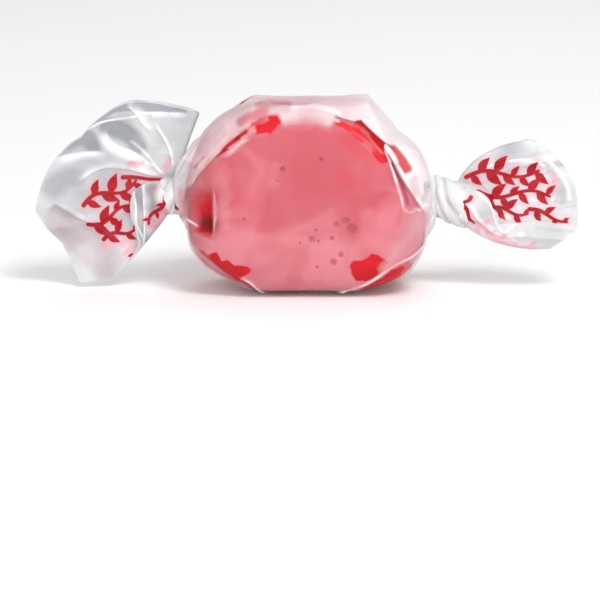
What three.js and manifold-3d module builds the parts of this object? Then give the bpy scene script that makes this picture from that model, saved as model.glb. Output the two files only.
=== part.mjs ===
// A piece of taffy in its wrapper. A short soft barrel of pulled pink candy, with red stripes along its side,
// is rolled in one sheet of waxed paper, and the paper's two ends are twisted shut and fan out.
// Millimetres, +Z up. The twists lie along X, and the candy's flat cut faces look along -Y and +Y.
import * as THREE from "three";
import Module from "manifold-3d";
import { mergeVertices } from "three/addons/utils/BufferGeometryUtils.js";

const wasm = await Module();
wasm.setup();

const STEP = 0.002; // the whole step that every vertex is rounded to
const MERGE = 1e-4; // corners closer than this become one

// The candy: a superellipse seen from the front, with nearly flat faces and rounded rims.
const CANDY_HALF_WIDTH = 13.05;
const CANDY_HALF_HEIGHT = 10.3;
const CANDY_HALF_DEPTH = 8.2;
const OUTLINE_POWER = 2.35;
const RIM_POWER = 5;
const BOTTOM_FLAT = 0.6; // how far the soft candy has sunk onto its resting side
const TOP_FLAT = 0.1;
const LUMPS = [ // low waves round the outline
  { count: 3, height: 0.1, phase: 0.6 },
  { count: 5, height: 0.06, phase: 2.1 },
];
const BULGE = { angle: -35, spread: 15, height: 0.85 }; // the side swells out below the right twist
const HOLLOW = { angle: 37, spread: 20, height: -0.55 }; // and is drawn in above it
const DENT = { x: -12.1, reach: 1.5, angle: 92, spread: 24, depth: 1.7 }; // the left twist pulls the front in

// The stripes: lengths of red candy sunk into the side, each with its place round the barrel.
const STRIPES = [
  { angle: -49, width: 4.3, depth: 2.8, lean: 14 },
  { angle: 47, width: 6.2, depth: 1.7, lean: -8 },
  { angle: 119, width: 3.6, depth: 2.2, lean: 10 },
  { angle: 183, width: 3.8, depth: 2.4, lean: 0 },
  { angle: 222, width: 4.4, depth: 2.0, lean: -6 },
];
const STRIPE_GAP = 0.12;
const HALVINGS = 22; // in the search for how far the candy reaches
// The wedge that a stripe fills. Its widths at its floor's two sides and past the skin are shares of the
// stripe's width. One side is less deep, and the wedge is cut well past the skin.
const WEDGE = { floorWidths: [0.62, 0.7], outerWidth: 1.1, shallower: 0.3, past: 3 };

// The paper, drawn thicker than real waxed paper so that it makes a solid.
const PAPER = 0.25;
const PAPER_GAP = 0.2;
const LAP = 50; // degrees by which the sheet laps over itself behind the candy
const LAP_RISE = { from: 0.5, over: 0.3 }; // where the sheet rises over itself, as shares of its length
const SHEET_START = 225; // where the sheet's inner edge lies, in degrees from the top towards the front
const CENTRE_HEIGHT = CANDY_HALF_HEIGHT - BOTTOM_FLAT + PAPER_GAP + PAPER; // of the candy, over the floor

// The twists. neckX is where the paper is tightest, and slant moves that in or out between top and bottom.
// tentTop is how far from the middle the paper leaves the candy on top, and bulgeTop how full the tent is.
const LEFT = {
  way: -1, neckX: 14.5, slant: 0.4, neckRadius: 1.85, endX: 16.0, endRadius: 1.7, endDrop: 0.1,
  tentTop: 5.7, bulgeTop: 1.32, ridgePitch: 1.1, ridgeHeight: 0.16,
};
const RIGHT = {
  way: 1, neckX: 13.9, slant: -0.4, neckRadius: 2.05, endX: 17.3, endRadius: 2.35, endDrop: 1.0,
  tentTop: 6.5, bulgeTop: 1.07, ridgePitch: 0.95, ridgeHeight: 0.2,
};
const DROP_START = 0.5; // how far before its neck a twist starts to sag
const TENT_CENTRE = -15; // the stiff flat top lies a little towards the back
const TENT_FULLNESS = 1.25; // higher makes that flat top wider round the roll
const TENT_SIDE = 11.3; // |x| where the paper leaves the candy at the front and the back
const PLEATS = 9; // round each neck
const PLEAT_DEPTH = 0.5;
const PLEAT_SWAY = 30; // degrees by which the pleats' spacing wanders
const END_GAPS = 1.5; // the paper stands this many gaps off the candy's left and right sides
const CORNER_CROWD = 5; // degrees by which the steps round the sheet crowd towards the candy's four corners
const BODY_END = 9; // |x| up to which the sheet is drawn with wide steps
const BODY_STATIONS = 8;
const TENT_STATIONS = 7;
const NECK_STATIONS = { before: 0.3, past: 0.1 }; // where the tent's steps end, and the sheet
const END_DIP = 0.5; // the last ring turns in, to end inside the twist
const ROUND_STEPS = 42;
const ROPE_SIDES = 28;
const ROPE_STATIONS = 4; // to each ridge of the twist
const ROPE_START = { before: 0.15, tucked: 0.55, smaller: 1.1 }; // its first full ring, and the one before it
const ROPE_END = { past: 0.35, smaller: 0.6 };

// The fans beyond the twists, in polar coordinates about each knot: degrees from +X, and millimetres.
// edge lists the free edge as [degrees, radius]. creases list [degrees, half width in degrees, height]. top
// and bottom are the folds where the sheet turns back behind itself and in front, at the knot and the edge.
const LEFT_FAN = {
  knot: [-15.1, 0.15], depth: 0.2, start: 1.1, tilt: -0.035,
  top: [76, 72], bottom: [247, 236],
  edge: [[66, 9.2], [90, 9.6], [116, 11.0], [147, 11.4], [167, 13.4], [187, 14.8], [205, 13.0],
    [213, 13.1], [225, 13.9], [237, 10.5], [248, 7.5]],
  creases: [[103, 11, 1.0], [133, 14, 1.2], [160, 13, -0.8], [185, 16, 0.9], [214, 14, -0.7]],
  back: { until: 212, behind: 0.9 },
  near: {
    length: 6.3,
    height: 1.75,
    edge: [[0, 128], [0.3, 136], [0.62, 176], [0.8, 222], [1, 238]],
  },
};
const RIGHT_FAN = {
  knot: [16.3, -0.75], depth: 0.2, start: 1.5, tilt: 0.05,
  top: [80, 40], bottom: [-58, -24],
  edge: [[-45, 10.0], [-26, 11.2], [-16, 13.5], [-7, 13.3], [8, 13.0], [17, 12.4], [37, 10.9], [44, 9.9],
    [60, 9.2]],
  creases: [[30, 13, 0.9], [8, 12, -0.8], [-12, 12, 0.7]],
  back: { until: 2, behind: 0.9 },
  near: {
    length: 13.3,
    height: 1.9,
    edge: [[0, 84], [0.2, 45], [0.27, -5], [0.42, -25], [0.62, -11], [1, -10]],
  },
};
const FAN_STEPS = 7;
const FAN_COLUMNS = { back: 10, turn: 3, main: 20, near: 8 };
const FAN_LEAN = 0.12; // how much further back a fan lies for each millimetre up
const FAN_FLARE = 12; // from the knot to where the creases have their stated height
const NEAR_CLOSING = 0.55; // share by which the near layer comes closer to the main sheet at the edge
const TURN_RADIUS = 1.5; // closer to the knot than this, a fold's turn gets no wider in degrees

const rad = THREE.MathUtils.degToRad;
const clamp = THREE.MathUtils.clamp;
const lerp = THREE.MathUtils.lerp;
const smooth = (x) => THREE.MathUtils.smoothstep(x, 0, 1);

function bell(distance, spread) {
  return Math.exp(-((distance / spread) ** 2));
}

function turnBetween(a, b) {
  return THREE.MathUtils.euclideanModulo(a - b + 180, 360) - 180;
}

// The value at x of the line through [x, value] pairs in rising order.
function along(pairs, x) {
  const last = pairs.length - 1;
  if (x <= pairs[0][0]) return pairs[0][1];
  if (x >= pairs[last][0]) return pairs[last][1];
  const i = pairs.findIndex((pair) => pair[0] > x);
  const [x0, y0] = pairs[i - 1];
  const [x1, y1] = pairs[i];
  return lerp(y0, y1, (x - x0) / (x1 - x0));
}

// The candy's outline seen from the front: its radius at an angle from +X, in radians.
function outlineRadius(angle) {
  const c = Math.abs(Math.cos(angle) / CANDY_HALF_WIDTH);
  const s = Math.sin(angle);
  const across = c ** OUTLINE_POWER + Math.abs(s / CANDY_HALF_HEIGHT) ** OUTLINE_POWER;
  const round = across ** (-1 / OUTLINE_POWER);
  const swell = [BULGE, HOLLOW].map(({ angle: at, spread, height }) => (
    height * bell(turnBetween(THREE.MathUtils.radToDeg(angle), at), spread)
  ));
  const lumps = LUMPS.reduce((sum, lump) => sum + lump.height * Math.sin(lump.count * angle + lump.phase), 0);
  const flat = CANDY_HALF_HEIGHT - (s < 0 ? BOTTOM_FLAT : TOP_FLAT);
  return Math.min(round + swell[0] + swell[1] + lumps, flat / Math.max(Math.abs(s), 1e-6));
}

// How far the left twist pulls the surface in, at station x and at an angle from the top towards the front.
function dent(x, degrees) {
  return DENT.depth * bell(x - DENT.x, DENT.reach) * bell(turnBetween(degrees, DENT.angle), DENT.spread);
}

function pulledIn(x, y, z) {
  const degrees = THREE.MathUtils.radToDeg(Math.atan2(-y, z));
  const radius = Math.hypot(y, z);
  const keep = radius > 0 ? Math.max(0, 1 - dent(x, degrees) / radius) : 1;
  return new THREE.Vector3(x, y * keep, z * keep);
}

// A point of the candy's skin: round its outline by angle, and from the front face to the back by tilt.
function candySkin(angle, tilt) {
  const c = Math.cos(tilt);
  const s = Math.sin(tilt);
  const grow = (Math.abs(c) ** RIM_POWER + Math.abs(s) ** RIM_POWER) ** (-1 / RIM_POWER);
  const radius = outlineRadius(angle) * grow * c;
  return pulledIn(radius * Math.cos(angle), CANDY_HALF_DEPTH * grow * s, radius * Math.sin(angle));
}

function asSolid(geometry) {
  geometry.deleteAttribute("normal");
  geometry.deleteAttribute("uv");
  const merged = mergeVertices(geometry, MERGE);
  return new wasm.Manifold(
    new wasm.Mesh({
      numProp: 3,
      vertProperties: new Float32Array(merged.attributes.position.array),
      triVerts: new Uint32Array(merged.index.array),
    }),
  );
}

// The corners of the triangles that are joined edge to edge with the one furthest out along X. Pockets of air
// shut in between folds aren't joined to it, and nor are slivers.
function outerShell(positions, corners) {
  const triangles = [];
  for (let i = 0; i < corners.length; i += 3) {
    const [a, b, c] = corners.slice(i, i + 3);
    if (a !== b && b !== c && c !== a) triangles.push([a, b, c]);
  }
  const byEdge = new Map();
  triangles.forEach((triangle, t) => triangle.forEach((from, k) => {
    const edge = `${from} ${triangle[(k + 1) % 3]}`;
    byEdge.set(edge, [...(byEdge.get(edge) ?? []), t]);
  }));
  const kept = new Set();
  const reach = triangles.map((triangle) => Math.max(...triangle.map((corner) => positions[3 * corner])));
  const waiting = [reach.indexOf(Math.max(...reach))];
  while (waiting.length) {
    const t = waiting.pop();
    if (kept.has(t)) continue;
    kept.add(t);
    triangles[t].forEach((from, k) => {
      waiting.push(...(byEdge.get(`${triangles[t][(k + 1) % 3]} ${from}`) ?? []));
    });
  }
  return [...kept].flatMap((t) => triangles[t]);
}

function tidied({ vertProperties, triVerts }) {
  const positions = vertProperties.map((value) => Math.round(value / STEP) * STEP);
  const geometry = new THREE.BufferGeometry();
  geometry.setAttribute("position", new THREE.BufferAttribute(positions, 3));
  geometry.setIndex(outerShell(positions, triVerts));
  const merged = mergeVertices(geometry, STEP / 2);
  merged.setIndex(outerShell(merged.attributes.position.array, merged.index.array));
  return merged;
}

function asMesh(solid, name, material) {
  const geometry = tidied(solid.getMesh());
  geometry.computeVertexNormals();
  const mesh = new THREE.Mesh(geometry, material);
  mesh.name = name;
  return mesh;
}

function makeCandy() {
  const round = 48;
  const across = 20;
  const geometry = new THREE.SphereGeometry(1, round, across);
  const position = geometry.attributes.position;
  for (let i = 0; i < position.count; i++) {
    const row = Math.floor(i / (round + 1));
    const column = i % (round + 1);
    const tilt = Math.PI * (0.5 - row / across);
    const point = candySkin((-2 * Math.PI * (column % round)) / round, tilt);
    position.setXYZ(i, point.x, point.y, point.z);
  }
  return asSolid(geometry);
}

// The wedge of space that one stripe takes up: wider at the skin than inside, and through the whole barrel.
function stripeSpace({ angle, width, depth, lean }, grow) {
  const radius = outlineRadius(rad(angle));
  const half = width / 2 + grow;
  const floor = radius - depth - grow;
  const shape = new THREE.Shape([
    new THREE.Vector2(floor + WEDGE.shallower, -half * WEDGE.floorWidths[0]),
    new THREE.Vector2(radius + WEDGE.past, -half * WEDGE.outerWidth),
    new THREE.Vector2(radius + WEDGE.past, half * WEDGE.outerWidth),
    new THREE.Vector2(floor, half * WEDGE.floorWidths[1]),
  ]);
  const length = 2 * (CANDY_HALF_DEPTH + 1);
  const geometry = new THREE.ExtrudeGeometry(shape, { depth: length, bevelEnabled: false, steps: 1 });
  geometry.translate(-radius, 0, -length / 2);
  geometry.rotateZ(rad(lean));
  geometry.translate(radius, 0, 0);
  geometry.rotateZ(rad(angle));
  geometry.rotateX(Math.PI / 2);
  return asSolid(geometry);
}

// How far the candy reaches from the X axis at station x, in the direction degrees from the top to the front.
function candyReach(x, degrees) {
  const dy = -Math.sin(rad(degrees));
  const dz = Math.cos(rad(degrees));
  const within = (r) => {
    const out = Math.hypot(x, r * dz) / outlineRadius(Math.atan2(r * dz, x));
    return out ** RIM_POWER + Math.abs((r * dy) / CANDY_HALF_DEPTH) ** RIM_POWER < 1;
  };
  if (!within(0)) return 0;
  let low = 0;
  let high = CANDY_HALF_WIDTH;
  for (let i = 0; i < HALVINGS; i++) {
    const middle = (low + high) / 2;
    if (within(middle)) low = middle;
    else high = middle;
  }
  return low;
}

// The twist's radius past the neck, at station |x|.
function ropeRadius(twist, x) {
  const t = clamp((x - twist.neckX) / (twist.endX - twist.neckX), 0, 1);
  return lerp(twist.neckRadius, twist.endRadius, t);
}

// How far the paper's inner side reaches from its axis, at station x and an angle from the top to the front.
// It lies on the candy, and from there runs as a tent to the neck, bulging at the top.
function paperReach(x, degrees) {
  const twist = x < 0 ? LEFT : RIGHT;
  const station = Math.abs(x);
  const up = smooth(TENT_FULLNESS * Math.cos(rad(turnBetween(degrees, TENT_CENTRE))));
  const neck = twist.neckX + twist.slant * Math.cos(rad(degrees));
  const leaves = lerp(TENT_SIDE, twist.tentTop, up);
  const power = lerp(1, twist.bulgeTop, up);
  const neckRadius = ropeRadius(twist, station);
  const held = lerp(candyReach(twist.way * leaves, degrees), candyReach(0, degrees), up) + PAPER_GAP;
  const t = clamp((station - leaves) / (neck - leaves), 0, 1);
  const tent = neckRadius + (held - neckRadius) * (1 - t ** power) ** (1 / power);
  const candy = candyReach(x * (1 - (END_GAPS * PAPER_GAP) / CANDY_HALF_WIDTH), degrees);
  return Math.max(candy > 0 ? candy + PAPER_GAP : 0, tent) - dent(x, degrees);
}

// How far the sheet dips at station x where it is gathered into pleats, growing towards the neck.
function pleatDip(x, degrees) {
  const { neckX } = x < 0 ? LEFT : RIGHT;
  const gathered = smooth((Math.abs(x) - TENT_SIDE) / (neckX - TENT_SIDE));
  const round = rad(degrees * PLEATS + PLEAT_SWAY * Math.sin(rad(2 * degrees)));
  return PLEAT_DEPTH * gathered * (0.5 - 0.5 * Math.cos(round));
}

// How far the twist hangs below its neck at station |x|.
function twistDrop(twist, station) {
  return twist.endDrop * smooth((station - twist.neckX + DROP_START) / (twist.endX - twist.neckX));
}

// A point of the rolled sheet's inner side. turn runs from 0 at the inner edge to 1 at the outer edge.
function sheetPoint(x, turn) {
  const even = SHEET_START + turn * (360 + LAP);
  const degrees = even + CORNER_CROWD * Math.sin(rad(4 * even));
  const lift = (PAPER + PAPER_GAP) * smooth((turn - LAP_RISE.from) / LAP_RISE.over);
  const radius = paperReach(x, degrees) - pleatDip(x, degrees) + lift;
  const drop = twistDrop(x < 0 ? LEFT : RIGHT, Math.abs(x));
  return new THREE.Vector3(x, -radius * Math.sin(rad(degrees)), radius * Math.cos(rad(degrees)) - drop);
}

// A closed solid from a sheet of points: rows by columns on its inner side, thickened outwards. facing says
// which way round the rows and columns run, and bottom is the lowest that the inner side may reach.
function thicken(points, facing, bottom = -Infinity) {
  const rows = points.length;
  const columns = points[0].length;
  const at = (i, j) => points[clamp(i, 0, rows - 1)][clamp(j, 0, columns - 1)];
  const vertices = [];
  const outer = [];
  for (let i = 0; i < rows; i++) {
    for (let j = 0; j < columns; j++) {
      const down = at(i + 1, j).clone().sub(at(i - 1, j));
      const across = at(i, j + 1).clone().sub(at(i, j - 1));
      const normal = down.cross(across).normalize().multiplyScalar(facing);
      const inside = at(i, j).clone();
      const outside = inside.clone().addScaledVector(normal, PAPER);
      inside.z = Math.max(inside.z, bottom);
      outside.z = Math.max(outside.z, bottom - PAPER);
      vertices.push(inside.x, inside.y, inside.z);
      outer.push(outside.x, outside.y, outside.z);
    }
  }
  const layer = rows * columns;
  const faces = [];
  const quad = (a, b, c, d) => faces.push(a, b, c, a, c, d);
  const id = (i, j) => i * columns + j;
  for (let i = 0; i < rows - 1; i++) {
    for (let j = 0; j < columns - 1; j++) {
      quad(id(i, j), id(i, j + 1), id(i + 1, j + 1), id(i + 1, j));
      quad(id(i, j) + layer, id(i + 1, j) + layer, id(i + 1, j + 1) + layer, id(i, j + 1) + layer);
    }
  }
  for (let i = 0; i < rows - 1; i++) {
    const [a, b] = [id(i, columns - 1), id(i + 1, columns - 1)];
    quad(id(i, 0), id(i + 1, 0), id(i + 1, 0) + layer, id(i, 0) + layer);
    quad(b, a, a + layer, b + layer);
  }
  for (let j = 0; j < columns - 1; j++) {
    const [a, b] = [id(rows - 1, j), id(rows - 1, j + 1)];
    quad(id(0, j + 1), id(0, j), id(0, j) + layer, id(0, j + 1) + layer);
    quad(a, b, b + layer, a + layer);
  }
  if (facing < 0) faces.reverse();
  const geometry = new THREE.BufferGeometry();
  geometry.setAttribute("position", new THREE.Float32BufferAttribute([...vertices, ...outer], 3));
  geometry.setIndex(faces);
  return asSolid(geometry);
}

// The stations along X at which the rolled sheet is drawn, closer together in the tents and the twists.
function sheetStations() {
  const spread = (from, to, count) => (
    Array.from({ length: count }, (_, i) => lerp(from, to, (i + 0.5) / count))
  );
  const half = (twist) => [
    ...spread(0, BODY_END, BODY_STATIONS / 2),
    ...spread(BODY_END, twist.neckX - NECK_STATIONS.before, TENT_STATIONS),
    twist.neckX + NECK_STATIONS.past,
  ];
  return [...half(LEFT).map((x) => -x).reverse(), ...half(RIGHT)];
}

function makeRoll() {
  const stations = sheetStations();
  const points = stations.map((x, i) => Array.from({ length: ROUND_STEPS }, (_, j) => {
    const point = sheetPoint(x, j / (ROUND_STEPS - 1));
    const last = i === 0 || i === stations.length - 1;
    if (last) point.addScaledVector(new THREE.Vector3(0, point.y, point.z).normalize(), -END_DIP);
    return point;
  }));
  return thicken(points, -1, -(CENTRE_HEIGHT - PAPER));
}

// The paper wrung solid in a twist: a rod with the sheet's folds winding round it. It starts small inside the
// tent's end, comes out through the paper there, and ends past the knot.
function makeRope(twist) {
  const first = twist.neckX - ROPE_START.before;
  const count = Math.round((ROPE_STATIONS * (twist.endX - first)) / twist.ridgePitch);
  const stations = [first - ROPE_START.tucked];
  for (let i = 0; i <= count; i++) stations.push(lerp(first, twist.endX, i / count));
  stations.push(twist.endX + ROPE_END.past);
  const rings = stations.map((station, i) => Array.from({ length: ROPE_SIDES }, (_, j) => {
    const angle = (2 * Math.PI * j) / ROPE_SIDES;
    const ridge = Math.cos(angle + (2 * Math.PI * (station - first)) / twist.ridgePitch);
    const smaller = i === 0 ? ROPE_START.smaller : i === stations.length - 1 ? ROPE_END.smaller : 0;
    const radius = ropeRadius(twist, station) + PAPER + twist.ridgeHeight * ridge - smaller;
    const drop = twistDrop(twist, station);
    return new THREE.Vector3(twist.way * station, -radius * Math.sin(angle), radius * Math.cos(angle) - drop);
  }));
  const vertices = rings.flat().flatMap((point) => point.toArray());
  const ends = [rings[0], rings[rings.length - 1]].map((ring) => {
    const sum = ring.reduce((total, point) => total.add(point), new THREE.Vector3());
    return vertices.push(...sum.divideScalar(ROPE_SIDES).toArray()) / 3 - 1;
  });
  const faces = [];
  for (let j = 0; j < ROPE_SIDES; j++) {
    const next = (j + 1) % ROPE_SIDES;
    for (let i = 0; i < rings.length - 1; i++) {
      const near = i * ROPE_SIDES;
      const far = near + ROPE_SIDES;
      faces.push(near + j, near + next, far + next, near + j, far + next, far + j);
    }
    const last = (rings.length - 1) * ROPE_SIDES;
    faces.push(ends[0], next, j, ends[1], last + j, last + next);
  }
  if (twist.way < 0) faces.reverse();
  const geometry = new THREE.BufferGeometry();
  geometry.setAttribute("position", new THREE.Float32BufferAttribute(vertices, 3));
  geometry.setIndex(faces);
  return asSolid(geometry);
}

// The depth of a fan's main sheet, towards +Y, at an angle and a radius from its knot. The creases run out
// along the sheet, so they go by the angle at which a column of it meets the free edge.
function fanDepth(fan, degrees, radius, edgeDegrees) {
  const folds = fan.creases.map(([at, half, height]) => (
    height * Math.max(0, 1 - Math.abs(edgeDegrees - at) / half)
  ));
  const folded = folds.reduce((sum, fold) => sum + fold);
  const rise = radius * Math.sin(rad(degrees));
  return fan.depth + FAN_LEAN * rise - fan.tilt * radius - (folded * radius) / FAN_FLARE;
}

// A fan is one sheet folded in three: a back layer, round the top fold to the main sheet, and round the
// bottom fold to a near layer. Each column gives its angle and its depth past the main sheet, at a fraction
// of the way out.
function fanColumns(fan) {
  const way = Math.sign(fan.bottom[0] - fan.top[0]);
  const top = (out) => lerp(fan.top[0], fan.top[1], out);
  const bottom = (out) => lerp(fan.bottom[0], fan.bottom[1], out);
  const spaced = (count, make) => Array.from({ length: count }, (_, i) => make((i + 0.5) / count));
  const height = (out) => fan.near.height * (1 - NEAR_CLOSING * out);
  const turned = (edge, side, apart, t) => (out, radius) => {
    const half = apart(out) / 2;
    const beyond = THREE.MathUtils.radToDeg((half * Math.sin(Math.PI * t)) / Math.max(radius, TURN_RADIUS));
    return [edge(out) + side * way * beyond, half * (1 + Math.cos(Math.PI * t))];
  };
  return [
    ...spaced(FAN_COLUMNS.back, (t) => (out) => [lerp(fan.back.until, top(out), t), fan.back.behind]),
    ...spaced(FAN_COLUMNS.turn, (t) => turned(top, -1, () => fan.back.behind, t)),
    ...spaced(FAN_COLUMNS.main, (t) => (out) => [lerp(top(out), bottom(out), t), 0]),
    ...spaced(FAN_COLUMNS.turn, (t) => (out, radius) => {
      const [degrees, rise] = turned(bottom, 1, height, t)(out, radius);
      return [degrees, rise - height(out)];
    }),
    ...spaced(FAN_COLUMNS.near, (t) => (out) => (
      [lerp(bottom(out), along(fan.near.edge, out), t), -height(out)]
    )),
  ];
}

function makeFan(fan) {
  const [knotX, knotZ] = fan.knot;
  const columns = fanColumns(fan);
  const rows = Array.from({ length: FAN_STEPS + 1 }, (_, i) => {
    const out = i / FAN_STEPS;
    return columns.map((column, j) => {
      const near = j >= columns.length - FAN_COLUMNS.near - 1;
      let radius = fan.start;
      for (let pass = 0; pass < 2; pass++) {
        const reach = along(fan.edge, column(out, radius)[0]);
        radius = lerp(fan.start, near ? Math.min(fan.near.length, reach) : reach, out);
      }
      const [degrees, past] = column(out, radius);
      return new THREE.Vector3(
        knotX + radius * Math.cos(rad(degrees)),
        fanDepth(fan, degrees, radius, column(1, FAN_FLARE)[0]) + past,
        knotZ + radius * Math.sin(rad(degrees)),
      );
    });
  });
  return thicken(rows, -Math.sign(fan.bottom[0] - fan.top[0]));
}

const pink = new THREE.MeshStandardMaterial({ color: 0xe4707f, roughness: 0.5, metalness: 0 });
const red = new THREE.MeshStandardMaterial({ color: 0xcf1c28, roughness: 0.45, metalness: 0 });
const waxed = new THREE.MeshStandardMaterial({ color: 0xe9e4e8, roughness: 0.4, metalness: 0 });

const candy = makeCandy();
let body = candy;
const stripes = STRIPES.map((stripe, i) => {
  body = body.subtract(stripeSpace(stripe, STRIPE_GAP));
  return asMesh(candy.intersect(stripeSpace(stripe, 0)), `red_stripe_${i + 1}`, red);
});
const paper = [makeRope(LEFT), makeRope(RIGHT), makeFan(LEFT_FAN), makeFan(RIGHT_FAN)].reduce(
  (whole, piece) => whole.add(piece),
  makeRoll(),
);

const taffy = new THREE.Group();
taffy.add(asMesh(body, "taffy_body", pink), ...stripes, asMesh(paper, "wax_paper_wrapper", waxed));

// The frame's origin is the middle of the whole piece's footprint, on the floor.
const box = new THREE.Box3().setFromObject(taffy);
const middle = box.getCenter(new THREE.Vector3());
const shift = [-middle.x, -middle.y, -box.min.z].map((value) => Math.round(value / STEP) * STEP);
taffy.position.set(...shift);

export default taffy;
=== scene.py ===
import math

import bpy
import numpy as np
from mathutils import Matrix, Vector


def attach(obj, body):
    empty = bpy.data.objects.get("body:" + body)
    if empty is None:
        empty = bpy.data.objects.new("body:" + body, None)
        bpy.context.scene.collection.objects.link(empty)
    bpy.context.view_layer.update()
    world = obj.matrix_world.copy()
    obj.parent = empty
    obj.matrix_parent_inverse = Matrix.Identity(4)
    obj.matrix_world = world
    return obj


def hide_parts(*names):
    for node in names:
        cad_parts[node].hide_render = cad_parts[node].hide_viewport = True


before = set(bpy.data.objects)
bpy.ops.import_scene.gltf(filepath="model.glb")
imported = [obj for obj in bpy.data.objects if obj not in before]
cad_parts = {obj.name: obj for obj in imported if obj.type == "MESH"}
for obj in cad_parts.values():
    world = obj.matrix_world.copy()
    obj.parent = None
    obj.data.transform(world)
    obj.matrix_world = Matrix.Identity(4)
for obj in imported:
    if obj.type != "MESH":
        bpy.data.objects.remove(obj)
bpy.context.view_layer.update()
print("frame loaded")

# A wrapped taffy. Shapes are worked out in millimetres about the candy's middle, and go to metres last.
# Angles round the barrel are degrees from the top towards the front, which faces -Y.

mm = 0.001

candy = {
    "middle": (0.03, -0.188, 10.15),  # of the candy, in the part's frame
    "halfWidth": 13.05,
    "halfHeight": 10.3,
    "halfDepth": 8.2,
    "outlinePower": 2.35,
    "rimPower": 5.0,  # higher is a sharper rim round the cut faces
    "bottomFlat": 0.6,
    "topFlat": 0.1,
    "swells": [(-35, 15, 0.85), (40, 17, -1.15), (204, 12, 0.5)],  # degrees, spread, height
    "waves": [(3, 0.6, 0.1), (5, 2.1, 0.06)],  # how many round the outline, phase, height
    "pinch": {"x": -12.1, "reach": 1.5, "angle": 92, "spread": 24, "depth": 1.7},
    "pit": {  # as seen from the front
        "right": -10.3, "left": -13.1, "top": 0.9, "bottom": -4.6, "depth": 1.15,
        "leftSlope": 1.9, "topSlope": 1.6, "bottomSlope": 1.1},
    "halvings": 22,  # in the search for how far the candy reaches
}


def bell(distance, spread):
    return np.exp(-((distance / spread) ** 2))


def smooth(t):
    t = np.clip(t, 0, 1)
    return t * t * (3 - 2 * t)


# 0 up to a start, and 1 from there on after a stretch
def ramp(value, start, over):
    return smooth((value - start) / over)


def lerp(a, b, t):
    return a + (b - a) * t


def turnBetween(a, b):
    return (a - b + 180) % 360 - 180


def along(pairs, at):
    xs, ys = np.array(pairs, float).T
    return np.interp(at, xs, ys)


# Smooth value noise from -1 to 1, the same on every run, from a whole-number hash of each cell's corners
def softNoise(points, size, seed):
    cell = np.floor(points / size).astype(np.int64)
    part = points / size - cell
    part = part * part * (3 - 2 * part)
    total = np.zeros(len(points))
    for corner in range(8):
        step = np.array([corner & 1, corner >> 1 & 1, corner >> 2 & 1])
        x, y, z = (cell + step).T
        key = (x * 73856093) ^ (y * 19349663) ^ (z * 83492791) ^ (seed * 40503)
        key = (key * 1103515245 + 12345) & 0x7FFFFFFF
        key = ((key >> 11) * 1664525 + 1013904223) & 0x7FFFFFFF
        weight = np.prod(np.where(step == 1, part, 1 - part), axis=1)
        total += weight * ((key >> 8 & 0xFFFF) / 32767.5 - 1)
    return total


# A smooth line through a few points
def curve(points, steps=4):
    points = np.array(points, float)
    if len(points) < 3:
        return points
    ends = np.vstack([2 * points[0] - points[1], points, 2 * points[-1] - points[-2]])
    made = []
    for a, b, c, d in zip(ends, ends[1:], ends[2:], ends[3:]):
        for t in np.arange(steps) / steps:
            made.append(0.5 * (2 * b + (c - a) * t + (2 * a - 5 * b + 4 * c - d) * t * t
                               + (3 * b - a - 3 * c + d) * t ** 3))
    return np.array([*made, points[-1]])


# Each point's distance from a line, how far along it is from 0 to 1, and whether it is on the line's left
def lineDistance(points, line):
    lengths = np.hypot(*np.diff(line, axis=0).T)
    before = np.concatenate([[0], np.cumsum(lengths)])
    best = np.full(len(points), 1e9)
    place = np.zeros(len(points))
    isLeft = np.zeros(len(points), bool)
    for i, (a, b) in enumerate(zip(line, line[1:])):
        ab = b - a
        t = np.clip((points - a) @ ab / max(ab @ ab, 1e-12), 0, 1)
        distance = np.hypot(*(points - a - t[:, None] * ab).T)
        nearer = distance < best
        best = np.where(nearer, distance, best)
        place = np.where(nearer, (before[i] + t * lengths[i]) / before[-1], place)
        isLeft = np.where(nearer, ab[0] * (points[:, 1] - a[1]) > ab[1] * (points[:, 0] - a[0]), isLeft)
    return best, place, isLeft


# Each point's distance from a closed outline, above 0 inside it
def insideBy(points, corners):
    outline = np.array([*corners, corners[0]], float)
    away = lineDistance(points, outline)[0]
    inside = np.zeros(len(points), bool)
    for a, b in zip(outline, outline[1:]):
        spans = (a[1] > points[:, 1]) != (b[1] > points[:, 1])
        slope = (b[0] - a[0]) / (b[1] - a[1] if a[1] != b[1] else 1)
        inside ^= spans & (points[:, 0] < a[0] + (points[:, 1] - a[1]) * slope)
    return np.where(inside, away, -away)


# 1 on a line, falling to 0 over a soft width past its half width, and towards its ends. A pair of soft
# widths is the one on the line's left and the one on its right.
def lineShare(seen, line, half, soft, ends):
    away, place, isLeft = lineDistance(seen, curve(line))
    width = np.where(isLeft, *soft) if isinstance(soft, tuple) else soft
    share = 1 - smooth((away - half) / width)
    return share * smooth(place / ends) * smooth((1 - place) / ends) if ends else share


creaseWear = {"thin": 0.1, "mean": 0.75, "spread": 0.5, "least": 0.3, "size": 0.9, "seed": 41}


# Draws lines into a piece's values: a push adds up, and any other value turns into the line's own
def drawMarks(seen, marks, values, where):
    wear = creaseWear
    worn = softNoise(np.column_stack([seen, seen[:, 0] * 0]), wear["size"], wear["seed"])
    uneven = np.clip(wear["mean"] + wear["spread"] * worn, wear["least"], 1)
    for line, half, soft, ends, changes in marks:
        share = lineShare(seen, line, half, soft, ends) * where
        if half < wear["thin"]:
            share = share * uneven  # thin creases come and go along their length
        for key, value in changes.items():
            old = values[key]
            values[key] = old + value * share if key == "push" else lerp(old, value, share)


# What a crease of the paper that catches the light changes: it is pushed out, and drawn white and milky as
# a painted highlight
def crest(push):
    return {"grey": 0.0, "haze": 0.97, "push": push}


view = {"elevation": 9.0, "distance": 380.0}  # where the photograph was taken from


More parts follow.
